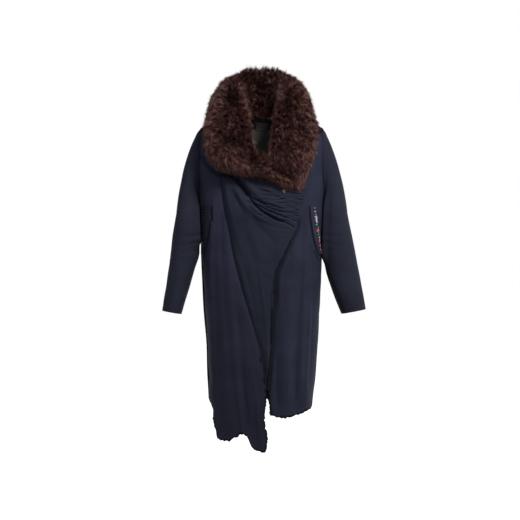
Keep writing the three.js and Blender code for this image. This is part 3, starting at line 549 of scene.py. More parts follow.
def mesh_object(name, vertices, faces, uv=None, smooth=True, material=None):
    """vertices in mm. faces is an array of quads or triangles, or a list."""
    mesh = bpy.data.meshes.new(name)
    v = np.asarray(vertices, float).reshape(-1, 3) / 1000
    faces = np.asarray(faces)
    k = faces.shape[1]
    mesh.vertices.add(len(v))
    mesh.vertices.foreach_set("co", v.astype(np.float32).ravel())
    mesh.loops.add(faces.size)
    mesh.loops.foreach_set("vertex_index", faces.astype(np.int32).ravel())
    mesh.polygons.add(len(faces))
    mesh.polygons.foreach_set("loop_start", np.arange(0, faces.size, k, dtype=np.int32))
    mesh.polygons.foreach_set("loop_total", np.full(len(faces), k, np.int32))
    if uv is not None:
        layer = mesh.uv_layers.new(name="Cloth")
        layer.data.foreach_set("uv", uv[faces.ravel()].astype(np.float32).ravel())
    mesh.polygons.foreach_set("use_smooth", np.full(len(faces), smooth))
    mesh.update(calc_edges=True)
    mesh.validate()
    o = bpy.data.objects.new(name, mesh)
    bpy.context.scene.collection.objects.link(o)
    if material is not None:
        mesh.materials.append(material)
    return o


def grid_faces(rows, cols, around=False):
    j = np.arange(cols if around else cols - 1)
    i = np.arange(rows - 1)[:, None]
    k = (j + 1) % cols
    return np.stack([i * cols + j, (i + 1) * cols + j, (i + 1) * cols + k, i * cols + k], -1).reshape(-1, 4)


def grid_uv(p):
    across = np.concatenate([np.zeros((p.shape[0], 1)), np.cumsum(np.linalg.norm(np.diff(p, axis=1), axis=2), 1)], 1)
    across -= across[:, [p.shape[1] // 2]]
    down = np.concatenate([np.zeros((1, p.shape[1])), np.cumsum(np.linalg.norm(np.diff(p, axis=0), axis=2), 0)], 0)
    return np.stack([across, -down], -1).reshape(-1, 2) / 1000


def area_of(p, around=False):
    """Area of a grid in square metres."""
    if around:
        p = np.concatenate([p, p[:, :1]], 1)
    a, b, c, d = p[:-1, :-1], p[1:, :-1], p[1:, 1:], p[:-1, 1:]
    return float((np.linalg.norm(np.cross(b - a, c - a), axis=-1) + np.linalg.norm(np.cross(c - a, d - a), axis=-1)).sum() / 2e6)


def heights(stops, steps):
    """Rows of heights, with a step for each stretch between stops."""
    out = []
    for hi, lo, step in zip(stops[:-1], stops[1:], steps):
        out.extend(np.linspace(hi, lo, max(2, int(round((hi - lo) / step)) + 1))[:-1])
    return np.array(out + [stops[-1]], float)


def ragged(run):
    """The wander of a raw edge along its run, in mm."""
    return (
        1.5 * np.sin(run / 5.6 + 1.7 * np.sin(run / 17.0))
        + 1.3 * np.sin(run / 2.7 + 2.1 * np.sin(run / 11.0) + 1.0)
        + 0.7 * np.sin(run / 1.6 + 1.3 * np.sin(run / 5.0))
    )


class Panel:
    """A piece of the body between two edges, as a grid of angles and heights."""

    def __init__(self, piece, rows, columns, start, end, hem=None, hem_start=None, ragged_sides=False):
        t = np.linspace(0, 1, columns)[None, :]
        z = np.repeat(np.asarray(rows, float)[:, None], columns, 1)
        if hem is not None:
            x_end = bare(mix(start(HEM_END), end(HEM_END), t), HEM_END)[..., 0]
            z_end = Curve(hem, "x", "z")(x_end)
            low = z < hem_start
            z = np.where(low, mix(hem_start, z_end, (z - hem_start) / (HEM_END - hem_start)), z)
            z = z + ragged(x_end) * ease((hem_start - 60 - z) / 60)
        self.piece = piece
        self.z = z
        self.phi = mix(start(z), end(z), t)
        if ragged_sides:
            low = ease((SLIT_TOP - 14 - z) / 20)
            self.phi = self.phi + ragged(z + 57) * 0.8 * low * per_mm(self.phi, z) * np.clip(np.abs(t - 0.5) * 2 - 0.9, 0, 0.1) * 10
        p0 = bare(self.phi, z)
        self.points = p0 + normal(self.phi, z) * lift(piece, p0[..., 0], z)[..., None]
        self.normals = grid_normals(self.points)
        if (self.normals * normal(self.phi, z)).sum() < 0:
            self.normals = -self.normals

    def build(self, name, node, material, slot, edges=("top", "bottom", "left", "right"), shaded_raw_edges=(), shaded=None, **sheet):
        p, n = self.points, self.normals
        for e in edges:
            p, n = turned(p, n, e)
        faces = grid_faces(*p.shape[:2])
        o = mesh_object(name, p, faces, grid_uv(p), material=material)
        # painted shade: faces along the raw borders get the near-black twill
        rows, cols = np.divmod(np.arange(len(faces)), p.shape[1] - 1)
        painted_shade_faces = np.zeros(len(faces), bool)
        height = p[rows, np.minimum(cols + 1, p.shape[1] - 1), 2]
        low = height < SLIT_TOP
        extra = (p.shape[0] - self.points.shape[0]) // 2, (p.shape[1] - self.points.shape[1]) // 2
        r = np.clip(rows - extra[0], 0, self.points.shape[0] - 1)
        c = np.clip(cols - extra[1], 0, self.points.shape[1] - 1)

        def near_border(i, j, mm):
            return np.linalg.norm(self.points[r, c] - self.points[i, j], axis=1) < mm

        if "bottom" in shaded_raw_edges:
            last_row = self.points.shape[0] - 1
            below = self.points[np.minimum(r + 1, last_row), c]
            across = self.points[last_row, c][:, 0]
            painted_shade_faces |= np.linalg.norm(below - self.points[last_row, c], axis=1) < 5.0 + 2.2 * np.sin(across / 6.3) * np.sin(across / 15.0 + 1)
        if "left" in shaded_raw_edges:
            painted_shade_faces |= near_border(r, np.zeros_like(c), 6.4 + 1.6 * np.sin(height / 6.1)) & low
        if "right" in shaded_raw_edges:
            painted_shade_faces |= near_border(r, np.full_like(c, -1), 6.4 + 1.6 * np.sin(height / 6.1)) & low
        if shaded is not None:
            # painted shade along a border's edge above the slit, in the near-black twill
            edge, top, mm = shaded
            reach = mm * ease((top - height) / 40) * (0.8 + 0.45 * np.sin(height / 7.3) * np.sin(height / 19.0 + 1))
            painted_shade_faces |= near_border(r, np.full_like(c, -1 if edge == "right" else 0), reach)
        if painted_shade_faces.any():
            o.data.materials.append(PAINTED_SHADE)
            o.data.polygons.foreach_set("material_index", painted_shade_faces.astype(np.int32))
        if not facing_out(o, self):
            o.data.flip_normals()
        finish_piece(o, node)
        return o


def facing_out(o, panel):
    i, j = panel.points.shape[0] // 2, panel.points.shape[1] // 2
    want = panel.normals[i, j]
    centre = panel.points[i, j] / 1000
    best = min(o.data.polygons, key=lambda f: (f.center[0] - centre[0]) ** 2 + (f.center[1] - centre[1]) ** 2 + (f.center[2] - centre[2]) ** 2)
    return float(np.dot(np.array(best.normal), want)) > 0


def finish_piece(o, nodes):
    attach(o, "root")
    for n in [nodes] if isinstance(nodes, str) else nodes:
        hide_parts(n)


# ------------------------------------------------------------------ materials
def material(name, base, roughness, specular=0.2, sheen=0.0, sheen_rough=0.5, metallic=0.0, sheen_tint=(1, 1, 1)):
    m = bpy.data.materials.new(name)
    m.use_nodes = True
    shader = m.node_tree.nodes["Principled BSDF"]
    shader.inputs["Base Color"].default_value = (*base, 1)
    shader.inputs["Roughness"].default_value = roughness
    shader.inputs["Specular IOR Level"].default_value = specular
    shader.inputs["Metallic"].default_value = metallic
    shader.inputs["Sheen Weight"].default_value = sheen
    shader.inputs["Sheen Roughness"].default_value = sheen_rough
    shader.inputs["Sheen Tint"].default_value = (*sheen_tint, 1)
    return m, m.node_tree, shader


def node(tree, kind, **values):
    n = tree.nodes.new(kind)
    for key, value in values.items():
        if key in n.inputs:
            n.inputs[key].default_value = value
        else:
            setattr(n, key, value)
    return n


def cloth(name, base, dark=0.72, light=1.3, pitch=0.9, bump=0.25, roughness=0.82, sheen=0.12, tint=(0.6, 0.68, 1), shade_by_height=(-1.05, -0.45, 0.76, 1.0), rim=0.42):
    """Twill: diagonal ribs a little under a millimetre apart, slubs, and soft unevenness of dye; its colour also
    carries painted shade, darker towards the bottom and where the surface turns away at its rim.
    """
    m, tree, shader = material(name, base, roughness, specular=0.12, sheen=sheen, sheen_rough=0.45, sheen_tint=tint)
    link = tree.links.new
    uv = node(tree, "ShaderNodeTexCoord")
    turn = node(tree, "ShaderNodeMapping")
    turn.inputs["Rotation"].default_value = (0, 0, math.radians(58))
    link(uv.outputs["UV"], turn.inputs["Vector"])
    ribs = node(tree, "ShaderNodeTexWave", Scale=314.0 / pitch / 1.0, Distortion=1.2, Detail=1.0)
    ribs.inputs["Detail Scale"].default_value = 3.0
    link(turn.outputs["Vector"], ribs.inputs["Vector"])
    dye = node(tree, "ShaderNodeTexNoise", Scale=11.0, Detail=4.0, Roughness=0.55)
    link(uv.outputs["Object"], dye.inputs["Vector"])
    slub = node(tree, "ShaderNodeTexNoise", Scale=900.0, Detail=2.0)
    stretch = node(tree, "ShaderNodeMapping")
    stretch.inputs["Scale"].default_value = (1, 0.12, 1)
    link(uv.outputs["UV"], stretch.inputs["Vector"])
    link(stretch.outputs["Vector"], slub.inputs["Vector"])
    weight = node(tree, "ShaderNodeMix", data_type="FLOAT")
    weight.inputs[0].default_value = 0.32
    link(dye.outputs["Fac"], weight.inputs[2])
    link(slub.outputs["Fac"], weight.inputs[3])
    ramp = node(tree, "ShaderNodeValToRGB")
    ramp.color_ramp.elements[0].position, ramp.color_ramp.elements[1].position = 0.3, 0.7
    ramp.color_ramp.elements[0].color = (*[c * dark for c in base], 1)
    ramp.color_ramp.elements[1].color = (*[c * light for c in base], 1)
    link(weight.outputs[0], ramp.inputs["Fac"])
    # painted shade: the colour darkens towards the bottom, by height
    place = node(tree, "ShaderNodeSeparateXYZ")
    link(uv.outputs["Object"], place.inputs["Vector"])
    height_shade = node(tree, "ShaderNodeMapRange")
    for key, value in zip(("From Min", "From Max", "To Min", "To Max"), shade_by_height):
        height_shade.inputs[key].default_value = value
    link(place.outputs["Z"], height_shade.inputs["Value"])
    # painted shade at the rim: the colour darkens where the surface is seen at a grazing angle
    turning = node(tree, "ShaderNodeLayerWeight", Blend=0.5)
    rim_shade = node(tree, "ShaderNodeMapRange")
    for key, value in (("From Min", 0.60), ("From Max", 1.0), ("To Min", 1.0), ("To Max", rim)):
        rim_shade.inputs[key].default_value = value
    link(turning.outputs["Facing"], rim_shade.inputs["Value"])
    both = node(tree, "ShaderNodeMath", operation="MULTIPLY")
    link(height_shade.outputs["Result"], both.inputs[0])
    link(rim_shade.outputs["Result"], both.inputs[1])
    shaded_base = node(tree, "ShaderNodeVectorMath", operation="SCALE")
    link(ramp.outputs["Color"], shaded_base.inputs[0])
    link(both.outputs[0], shaded_base.inputs["Scale"])
    link(shaded_base.outputs["Vector"], shader.inputs["Base Color"])
    height = node(tree, "ShaderNodeMix", data_type="FLOAT")
    height.inputs[0].default_value = 0.35
    link(ribs.outputs["Fac"], height.inputs[2])
    link(slub.outputs["Fac"], height.inputs[3])
    relief = node(tree, "ShaderNodeBump", Strength=bump, Distance=0.0003)
    link(height.outputs[0], relief.inputs["Height"])
    crumple = node(tree, "ShaderNodeTexNoise", Scale=26.0, Detail=3.0, Roughness=0.5)
    link(uv.outputs["Object"], crumple.inputs["Vector"])
    soft = node(tree, "ShaderNodeBump", Strength=0.22, Distance=0.004)
    link(crumple.outputs["Fac"], soft.inputs["Height"])
    link(relief.outputs["Normal"], soft.inputs["Normal"])
    link(soft.outputs["Normal"], shader.inputs["Normal"])
    rough = node(tree, "ShaderNodeMapRange")
    rough.inputs["To Min"].default_value, rough.inputs["To Max"].default_value = roughness - 0.06, roughness + 0.08
    link(dye.outputs["Fac"], rough.inputs["Value"])
    link(rough.outputs["Result"], shader.inputs["Roughness"])
    return m


def plain(name, base, roughness=0.6, specular=0.25, sheen=0.0):
    return material(name, base, roughness, specular, sheen)[0]


TWILL = cloth("washed_navy_twill", (0.0158, 0.0178, 0.0300), sheen=0.03)
# painted light and shade: the under front gets a lighter copy of the twill and the side front a darker one, each with
# its own darkening by height, as though lit from the right
UNDER_TWILL_LIT = cloth("navy_twill_under_painted_light", (0.0172, 0.0192, 0.0345), sheen=0.03, shade_by_height=(-0.95, -0.30, 0.84, 1.12))
SIDE_TWILL_SHADED = cloth("navy_twill_side_painted_shade", (0.0142, 0.0146, 0.0268), sheen=0.03, shade_by_height=(-0.95, -0.25, 0.90, 1.62))
SLEEVE_TWILL = cloth("washed_navy_twill_sleeve", (0.0166, 0.0180, 0.0302), sheen=0.03, rim=0.85)
BAND_TWILL = cloth("washed_navy_twill_band", (0.0240, 0.0260, 0.0430), sheen=0.03)
# painted shadow: the facing's top fades to near-black by height, where the fur overhangs it
LINING = cloth("grey_green_facing", (0.094, 0.102, 0.091), pitch=0.6, bump=0.15, sheen=0.02, tint=(1, 1, 1), shade_by_height=(-0.040, -0.030, 1.0, 0.14))
LABEL = cloth("dark_woven_label", (0.078, 0.062, 0.058), pitch=0.4, bump=0.2, roughness=0.6, sheen=0.0)
LABEL_BORDER = cloth("woven_selvedge", (0.16, 0.15, 0.15), pitch=0.4, bump=0.2, roughness=0.6, sheen=0.0)
RIBBON = cloth("trim_ribbon", (0.022, 0.020, 0.034), pitch=0.5, bump=0.3, roughness=0.7, sheen=0.0)
# near-black twill used as painted shade: along edges, in the pocket's mouth and over the right trim
PAINTED_SHADE = cloth("painted_shade_twill", (0.0048, 0.0050, 0.0088), sheen=0.0, bump=0.4)
THREAD = plain("navy_thread", (0.020, 0.021, 0.034), 0.5, 0.3)

# ------------------------------------------------------------------ body panels
back = Panel(
    "back",
    heights([-0.6, -60, -320, HEM_END], [4, 4.5, 5]),
    118,
    lambda z: side(z, "back"),
    lambda z: 2 * np.pi - side(z, "back"),
    HEM_BACK,
    -840,
)
side_front = Panel(
    "side",
    heights([-19, -36, -918, HEM_END], [3, 3.6, 2.6]),
    80,
    lambda z: np.where(z > -938, -side(z, "front"), np.maximum(-side(z, "front"), phi_at_x(free_edge_x(z), z))),
    lambda z: phi_at_x(shaped_seam(z) - 0.4, z),
    HEM_LONG,
    SLIT_TOP,
    ragged_sides=True,
)
draped = Panel(
    "drape",
    heights([-3, -170, -235, -380, -500, SLIT_TOP], [4, 2.2, 1.5, 2.4, 3.4]),
    132,
    lambda z: np.where(z > -18.4, -side(z, "front"), phi_at_x(shaped_seam(z) + 0.4, z)),
    lambda z: phi_at_x(wrap_edge(z), z),
)
under = Panel(
    "under",
    heights([-3, -36, -320, HEM_END], [3.5, 3.6, 3.8]),
    88,
    lambda z: phi_at_x(under_edge(z), z),
    lambda z: side(z, "front"),
    HEM_SHORT,
    -840,
    ragged_sides=True,
)
AREAS = {k: area_of(p.points) for k, p in {"back": back, "side": side_front, "drape": draped, "under": under}.items()}
print("areas", {k: round(v, 3) for k, v in AREAS.items()})
back.build("back_cloth", "back_panel", TWILL, "twill", shaded_raw_edges=("bottom",), flat=(0.55, 1.02), held="hung", rests_on=["front_left_cloth", "side_front_cloth"], area=0.50)
side_front.build("side_front_cloth", "side_front_right", SIDE_TWILL_SHADED, "twill", shaded_raw_edges=("bottom", "left", "right"), shaded=("right", -770, 8.0), flat=(0.32, 1.16), held="hung", rests_on=["back_cloth"], area=0.20)
draped.build("draped_front_cloth", "draped_front_right", TWILL, "twill", shaded=("right", -370, 7.0), flat=(0.36, 1.05), held="gathered", rests_on=["side_front_cloth", "front_left_cloth"], area=0.135)
under.build("front_left_cloth", "front_left", UNDER_TWILL_LIT, "twill", shaded_raw_edges=("bottom", "left", "right"), flat=(0.34, 1.04), held="hung", rests_on=["back_cloth"], area=0.265)

# ------------------------------------------------------------------ sleeves
SLEEVE_FOLDS = [
    # along the sleeve (unrolled: mm round from the outer side, positive to the front), height
    ([(-150, -330), (150, -352)], 0, 0, 10, 10, False),
    ([(150, -392), (96, -404), (48, -398)], -5, -3, 6, 7, False),
    ([(150, -424), (104, -428), (66, -444)], -5.5, -3, 6, 7, False),
    ([(152, -408), (112, -416), (74, -422)], 3.5, 2, 6, 6, False),
    ([(150, -462), (108, -452), (62, -468)], -4.5, -3, 6, 8, False),
    ([(-150, -398), (-100, -410), (-50, -404)], -4, -2, 7, 8, False),
    ([(-150, -440), (-108, -440), (-66, -456)], -4.5, -3, 7, 8, False),
    ([(20, -120), (36, -240), (30, -380)], 3, 2, 12, 14, False),
    ([(64, -150), (70, -260), (60, -350)], -3, -2.4, 9, 10, False),
    ([(-20, -480), (10, -560), (22, -650)], 2.4, 2.8, 10, 10, False),
    ([(56, -500), (60, -580), (52, -650)], -2.4, -2.4, 9, 9, False),
    ([(-70, -160), (-76, -260), (-70, -350)], -3, -2, 9, 10, False),
]


def sleeve(rows, sign, tilt, top_reach, seed):
    around = 88
    a = 2 * np.pi * np.arange(around) / around

    def ring(z, lean, out, inn, front, back, pw):
        w = power(np.cos(a), 2 / pw)
        return np.stack(
            [
                sign * ((out + inn) / 2 + (out - inn) / 2 * w),
                (front + back) / 2 - (back - front) / 2 * power(np.sin(a), 2 / pw),
                z + lean * w,
            ],
            -1,
        )

    reads = {c: Curve(rows, "z", c) for c in SLEEVE_COLUMNS[1:]}
    first = {c: float(reads[c](-330)) for c in reads}
    y = -(ARM["deep"] - 0.2) * np.sin(a)
    z = ARM["middle"] + (ARM["tall"] - 0.2) * np.cos(a)
    pw = sections["power"](z)
    half = np.where(y < 0, sections["front"](z), sections["back"](z))
    wide = sections["right" if sign > 0 else "left"](z)
    armhole = np.stack([sign * wide * (1 - (np.abs(y) / half) ** pw) ** (1 / pw), y, z], -1)
    biceps = ring(-330, 6, first["out"], first["in"], first["front"], first["back"], first["power"])
    top = ((1 + np.cos(a)) / 2)[:, None]
    leave = np.hstack([sign * mix(14, top_reach, top), 0 * top, mix(-20, -108, top)])
    arrive = np.hstack([sign * mix(0, 24, top), 0 * top, mix(-40, -300, top)])
    grid = []
    for t in np.linspace(0, 1, 46)[:-1]:
        grid.append(
            armhole * (2 * t**3 - 3 * t**2 + 1) + leave * (t**3 - 2 * t**2 + t) + biceps * (3 * t**2 - 2 * t**3) + arrive * (t**3 - t**2)
        )
    end = float(rows["z"][-1])
    for h in np.linspace(-330, end, 86):
        r = {c: float(reads[c](h)) for c in reads}
        grid.append(ring(h, mix(6, tilt, (h + 330) / (end + 330)), r["out"], r["in"], r["front"], r["back"], r["power"]))
    p = np.array(grid)
    n = grid_normals(p, around=True)
    centre = p.mean(1, keepdims=True)
    if (n * (p - centre)).sum() < 0:
        n = -n
    # unrolled place of every point, for the creases
    turn = np.where(a > np.pi, a - 2 * np.pi, a)
    u = np.repeat((turn * 52)[None], len(p), 0)
    v = p[..., 2]
    shift = fold_sum(SLEEVE_FOLDS, u, v, picture=False) + fold_sum(SLEEVE_FOLDS, u - 2 * np.pi * 52, v, picture=False) + fold_sum(SLEEVE_FOLDS, u + 2 * np.pi * 52, v, picture=False)
    shift = shift + 1.0 * wobble(u, v, 80, seed) * np.sin(np.clip((turn + np.pi) / (2 * np.pi), 0, 1) * np.pi)[None]
    from_armhole = np.clip(np.arange(len(p)) / 14.0, 0, 1)[:, None]
    to_cuff = np.clip((v - end) / 30, 0, 1)
    puff = 1.6 * np.exp(-(((np.arange(len(p)) - 4) / 3.0) ** 2))[:, None] * np.ones_like(v)
    seam = -1.2 * np.exp(-((np.abs(np.abs(turn) - 2.75) * 52 / 3.0) ** 2))[None] * np.ones_like(v)
    p = p + n * ((0.2 if sign > 0 else 0.45) * shift * from_armhole * (0.35 + 0.65 * to_cuff) + puff + seam * from_armhole)[..., None]
    # down to its parting height the inner side lies round the side of the body
    x, y, z = sign * p[..., 0], p[..., 1], p[..., 2]
    pw = sections["power"](z)
    share = np.clip(np.abs(y) * np.where(y < 0, 0.86, 1.0) / np.where(y < 0, sections["front"](z), sections["back"](z)), 0, 0.999)
    nearest = sections["right" if sign > 0 else "left"](z) * (1 - share**pw) ** (1 / pw) + SLEEVE_REST["clear"]
    parting = SLEEVE_REST["left" if sign > 0 else "right"]
    near = ease((z - parting + 14) / 28) * ease((nearest + 26 - x) / 14) * ease((-222 - z) / 84)
    p[..., 0] = sign * np.where(x > nearest, mix(x, nearest, near), x)
    n = grid_normals(p, around=True)
    if (n * (p - p.mean(1, keepdims=True))).sum() < 0:
        n = -n
    return p, n


def tube(name, node_name, p, n, slot, material_, **sheet):
    # cuff turned in
    for at in ("bottom",):
        out = unit(p[-1] - p[-3])
        q = n[-1]
        rows = [p[-1] + out * 0.9 * math.sin(t) - q * 0.9 * (1 - math.cos(t)) for t in (math.pi / 3, 2 * math.pi / 3, math.pi)]
        rows += [p[-1] - out * d - q * 2.0 for d in (6, 14, 28)]
        p = np.concatenate([p, np.array(rows)])
        n = np.concatenate([n, np.repeat(q[None], len(rows), 0)])
    uv = grid_uv(p)
    o = mesh_object(name, p, grid_faces(*p.shape[:2], around=True), uv, material=material_)
    i = len(p) // 3
    f = o.data.polygons[i * p.shape[1]]
    if float(np.dot(np.array(f.normal), n[i, 0])) < 0:
        o.data.flip_normals()
    finish_piece(o, node_name)
    return o


sleeve_left = sleeve(SLEEVE_L, 1, CUFF_TILT["left"], 100, 11)
sleeve_right = sleeve(SLEEVE_R, -1, CUFF_TILT["right"], 122, 12)
print("sleeve areas", round(area_of(sleeve_left[0], True), 3), round(area_of(sleeve_right[0], True), 3))
tube("sleeve_left_cloth", "sleeve_left", *sleeve_left, "twill", SLEEVE_TWILL, flat=(0.36, 0.62), held="hung", rests_on=["front_left_cloth", "back_cloth"], area=0.18)
tube("sleeve_right_cloth", "sleeve_right", *sleeve_right, "twill", SLEEVE_TWILL, flat=(0.36, 0.62), held="hung", rests_on=["side_front_cloth", "back_cloth"], area=0.172)


# ------------------------------------------------------------------ what lies on the panels
def on_panel(piece, phi, z, off):
    p0 = bare(phi, z)
    return p0 + normal(phi, z) * (lift(piece, p0[..., 0], z) + off)[..., None]


def strip(name, node_name, piece, z, phi_a, phi_b, columns, off, material_, slot, crown=0.0, shaded=0, **sheet):
    t = np.linspace(0, 1, columns)[None]
    phi = mix(phi_a[:, None], phi_b[:, None], t)
    zz = np.repeat(z[:, None], columns, 1)
    p = on_panel(piece, phi, zz, off + crown * np.sin(np.pi * t) + 0 * zz)
    n = grid_normals(p)
    if (n * normal(phi, zz)).sum() < 0:
        n = -n
    for e in ("top", "bottom", "left", "right"):
        p, n = turned(p, n, e, radius=0.45, deep=3.0)
    o = mesh_object(name, p, grid_faces(*p.shape[:2]), grid_uv(p), material=material_)
    if shaded:
        # painted shadow in the pocket's mouth: the band's outer columns get the near-black twill
        cols = np.arange(len(o.data.polygons)) % (p.shape[1] - 1)
        o.data.materials.append(PAINTED_SHADE)
        o.data.polygons.foreach_set("material_index", (cols < (p.shape[1] - columns) // 2 + shaded).astype(np.int32))
    finish_piece(o, node_name)
    return o


DEG = math.pi / 180
mouth, trim_l, trim_r = (Curve(POCKET, "z", c) for c in ("mouth", "trim", "trim_right"))
pocket_z = np.linspace(-303, -464, 60)
TRIM_WIDTH = 14.0


def pocket(sign):
    side_word = "left" if sign > 0 else "right"
    piece = "under" if sign > 0 else "side"
    line = sign * (trim_l if sign > 0 else trim_r)(pocket_z) * DEG
    k = per_mm(line, pocket_z)
    edge = sign * mouth(pocket_z) * DEG - (4.4 if sign > 0 else 0) * k
    near = line - sign * (TRIM_WIDTH / 2 + 0.6) * k
    strip(f"pocket_band_{side_word}_cloth", f"pocket_band_{side_word}", piece, pocket_z, edge, near, 16, 2.2, BAND_TWILL if sign > 0 else TWILL, "twill",
          crown=0.8, shaded=4 if sign > 0 else 2, flat=(0.05, 0.17), held="stretched", rests_on=["front_left_cloth" if sign > 0 else "side_front_cloth"], area=0.0045 if sign > 0 else 0.0060)
    # painted shade: the right trim's ribbon is drawn in the near-black twill, as it lies in shadow
    strip(f"pocket_trim_{side_word}_ribbon", f"pocket_trim_{side_word}", piece, pocket_z, line - TRIM_WIDTH / 2 * k, line + TRIM_WIDTH / 2 * k,
          10, 2.6, RIBBON if sign > 0 else PAINTED_SHADE, "trim", crown=0.5, flat=(0.016, 0.175), held="stretched", rests_on=["front_left_cloth" if sign > 0 else "side_front_cloth"], area=0.0028)
    return line


trim_line = {1: pocket(1), -1: pocket(-1)}

# Embroidery on the trims: generic flowers, leaves, dots and bars in raised thread.
COLOURS = {
    "brass": plain("thread_gold", (0.17, 0.12, 0.07), 0.4, 0.4),
    "lilac": plain("thread_lilac", (0.30, 0.27, 0.42), 0.5, 0.3),
    "pale": plain("thread_pale", (0.42, 0.40, 0.44), 0.5, 0.3),
    "pink": plain("thread_pink", (0.34, 0.04, 0.11), 0.5, 0.3),
    "rose": plain("thread_rose", (0.42, 0.17, 0.22), 0.5, 0.3),
    "red": plain("thread_red", (0.26, 0.018, 0.024), 0.5, 0.3),
    "dark_in_shade": plain("thread_dark_in_shade", (0.018, 0.018, 0.030), 0.5, 0.3),
    "green": plain("thread_green", (0.06, 0.20, 0.06), 0.5, 0.3),
    "white": plain("thread_white", (0.52, 0.50, 0.49), 0.5, 0.3),
}
# share of the trim's length, mm across, mm long radius, mm short radius, turn in degrees, thread
MOTIFS = [
    (0.035, 0, 2.6, 2.0, 0, "brass"), (0.035, 0, 1.3, 0.9, 0, "white"), (0.105, -0.5, 2.6, 2.4, 0, "lilac"),
    (0.165, 1.5, 3.2, 1.2, 40, "green"), (0.165, -2.5, 2.0, 1.6, 0, "red"), (0.215, 0, 3.8, 3.4, 0, "lilac"),
    (0.255, 0.6, 5.4, 2.3, 8, "pale"), (0.315, 0.4, 5.6, 2.2, -6, "pale"), (0.375, -1.2, 2.4, 2.0, 0, "lilac"),
    (0.43, 2.0, 3.4, 1.3, -35, "green"), (0.50, 0, 2.0, 2.0, 0, "red"), (0.565, 3.6, 3.0, 1.4, 20, "green"),
    (0.60, -1.0, 4.2, 1.6, -30, "green"), (0.645, 1.4, 2.5, 2.3, 0, "white"), (0.70, 0.6, 5.0, 2.0, -10, "rose"),
    (0.755, 0.2, 4.8, 2.0, 8, "pink"), (0.81, 0, 2.2, 2.0, 0, "white"), (0.855, 0.8, 3.0, 2.2, 0, "red"),
    (0.90, -0.4, 2.2, 1.8, 0, "white"), (0.94, 0.4, 2.6, 2.0, 0, "rose"), (0.975, 0, 1.8, 1.6, 0, "red"),
]
for k in range(5):  # petals round the flower's heart
    MOTIFS.append((0.50 + 0.026 * math.cos(k * 1.2566), 3.6 * math.sin(k * 1.2566), 2.6, 1.9, 90 - k * 72, "pink" if k % 2 else "rose"))
for k in range(4):  # small corner dots beside the pale bars
    MOTIFS.append((0.235 + 0.05 * k, -4.6 if k % 2 else 4.8, 1.1, 1.1, 0, ["rose", "white", "green", "lilac"][k]))


def embroidery(sign):
    verts, faces, index = [], [], []
    names = list(COLOURS)
    piece = "under" if sign > 0 else "side"
    run = np.linspace(0, 1, len(pocket_z))
    for share, across, long, short, turn, thread in MOTIFS:
        # painted shade: on the right trim all motifs but one are drawn in a dark thread
        if sign < 0:
            thread = "lilac" if 0.74 < share < 0.84 else "dark_in_shade"
        z0 = float(np.interp(share, run, pocket_z))
        phi0 = float(np.interp(share, run, trim_line[sign]))
        k = float(per_mm(np.array(phi0), np.array(z0)))
        across, short = across * 1.4, short * 2.0
        rings = [(1.0, 0.15), (0.86, 0.75), (0.5, 1.15)]
        c, s = math.cos(math.radians(turn)), math.sin(math.radians(turn))
        base = len(verts)
        count = 14
        for scale, high in rings:
            for q in range(count):
                b = 2 * math.pi * q / count
                du, dv = short * scale * math.cos(b), long * scale * math.sin(b)
                du, dv = du * c - dv * s + across, du * s + dv * c
                verts.append((phi0 + du * k, z0 + dv, 3.0 + high))
        verts.append((phi0 + across * k, z0, 3.0 + 1.25))
        for r in range(2):
            for q in range(count):
                q2 = (q + 1) % count
                a0, b0 = base + r * count + q, base + r * count + q2
                faces += [(a0, b0, b0 + count), (a0, b0 + count, a0 + count)]
                index += [names.index(thread)] * 2
        for q in range(count):
            faces.append((base + 2 * count + q, base + 2 * count + (q + 1) % count, len(verts) - 1))
            index.append(names.index(thread))
    v = np.array(verts)
    p = on_panel(piece, v[:, 0], v[:, 1], v[:, 2])
    o = mesh_object(f"trim_embroidery_{'left' if sign > 0 else 'right'}", p, np.array(faces))
    for c in names:
        o.data.materials.append(COLOURS[c])
    o.data.polygons.foreach_set("material_index", np.array(index, np.int32))
    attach(o, "root")


embroidery(1)
embroidery(-1)


# ------------------------------------------------------------------ stitching
def stitches(lines):
    """Short raised stitches along lines of points and normals (mm)."""
    verts, faces = [], []
    for points, normals in lines:
        seg = np.linalg.norm(np.diff(points, axis=0), axis=1)
        run = np.concatenate([[0], np.cumsum(seg)])
        for s in np.arange(1.5, run[-1] - 3.4, 4.2):
            ends = []
            for d in (0, 3.1):
                ends.append(np.array([np.interp(s + d, run, points[:, k]) for k in range(3)]))
            m = unit(np.array([np.interp(s + 1.5, run, normals[:, k]) for k in range(3)]))
            along = unit(ends[1] - ends[0])
            across = np.cross(m, along)
            middle = (ends[0] + ends[1]) / 2
            base = len(verts)
            for centre, w, h in ((ends[0], 0.2, 0.1), (middle, 0.42, 0.55), (ends[1], 0.2, 0.1)):
                verts += [centre - across * w, centre + m * h, centre + across * w]
            for r in (0, 3):
                for q in (0, 1):
                    faces.append((base + r + q, base + r + q + 1, base + r + q + 4, base + r + q + 3))
    return mesh_object("hem_stitching", np.array(verts), np.array(faces), material=THREAD)


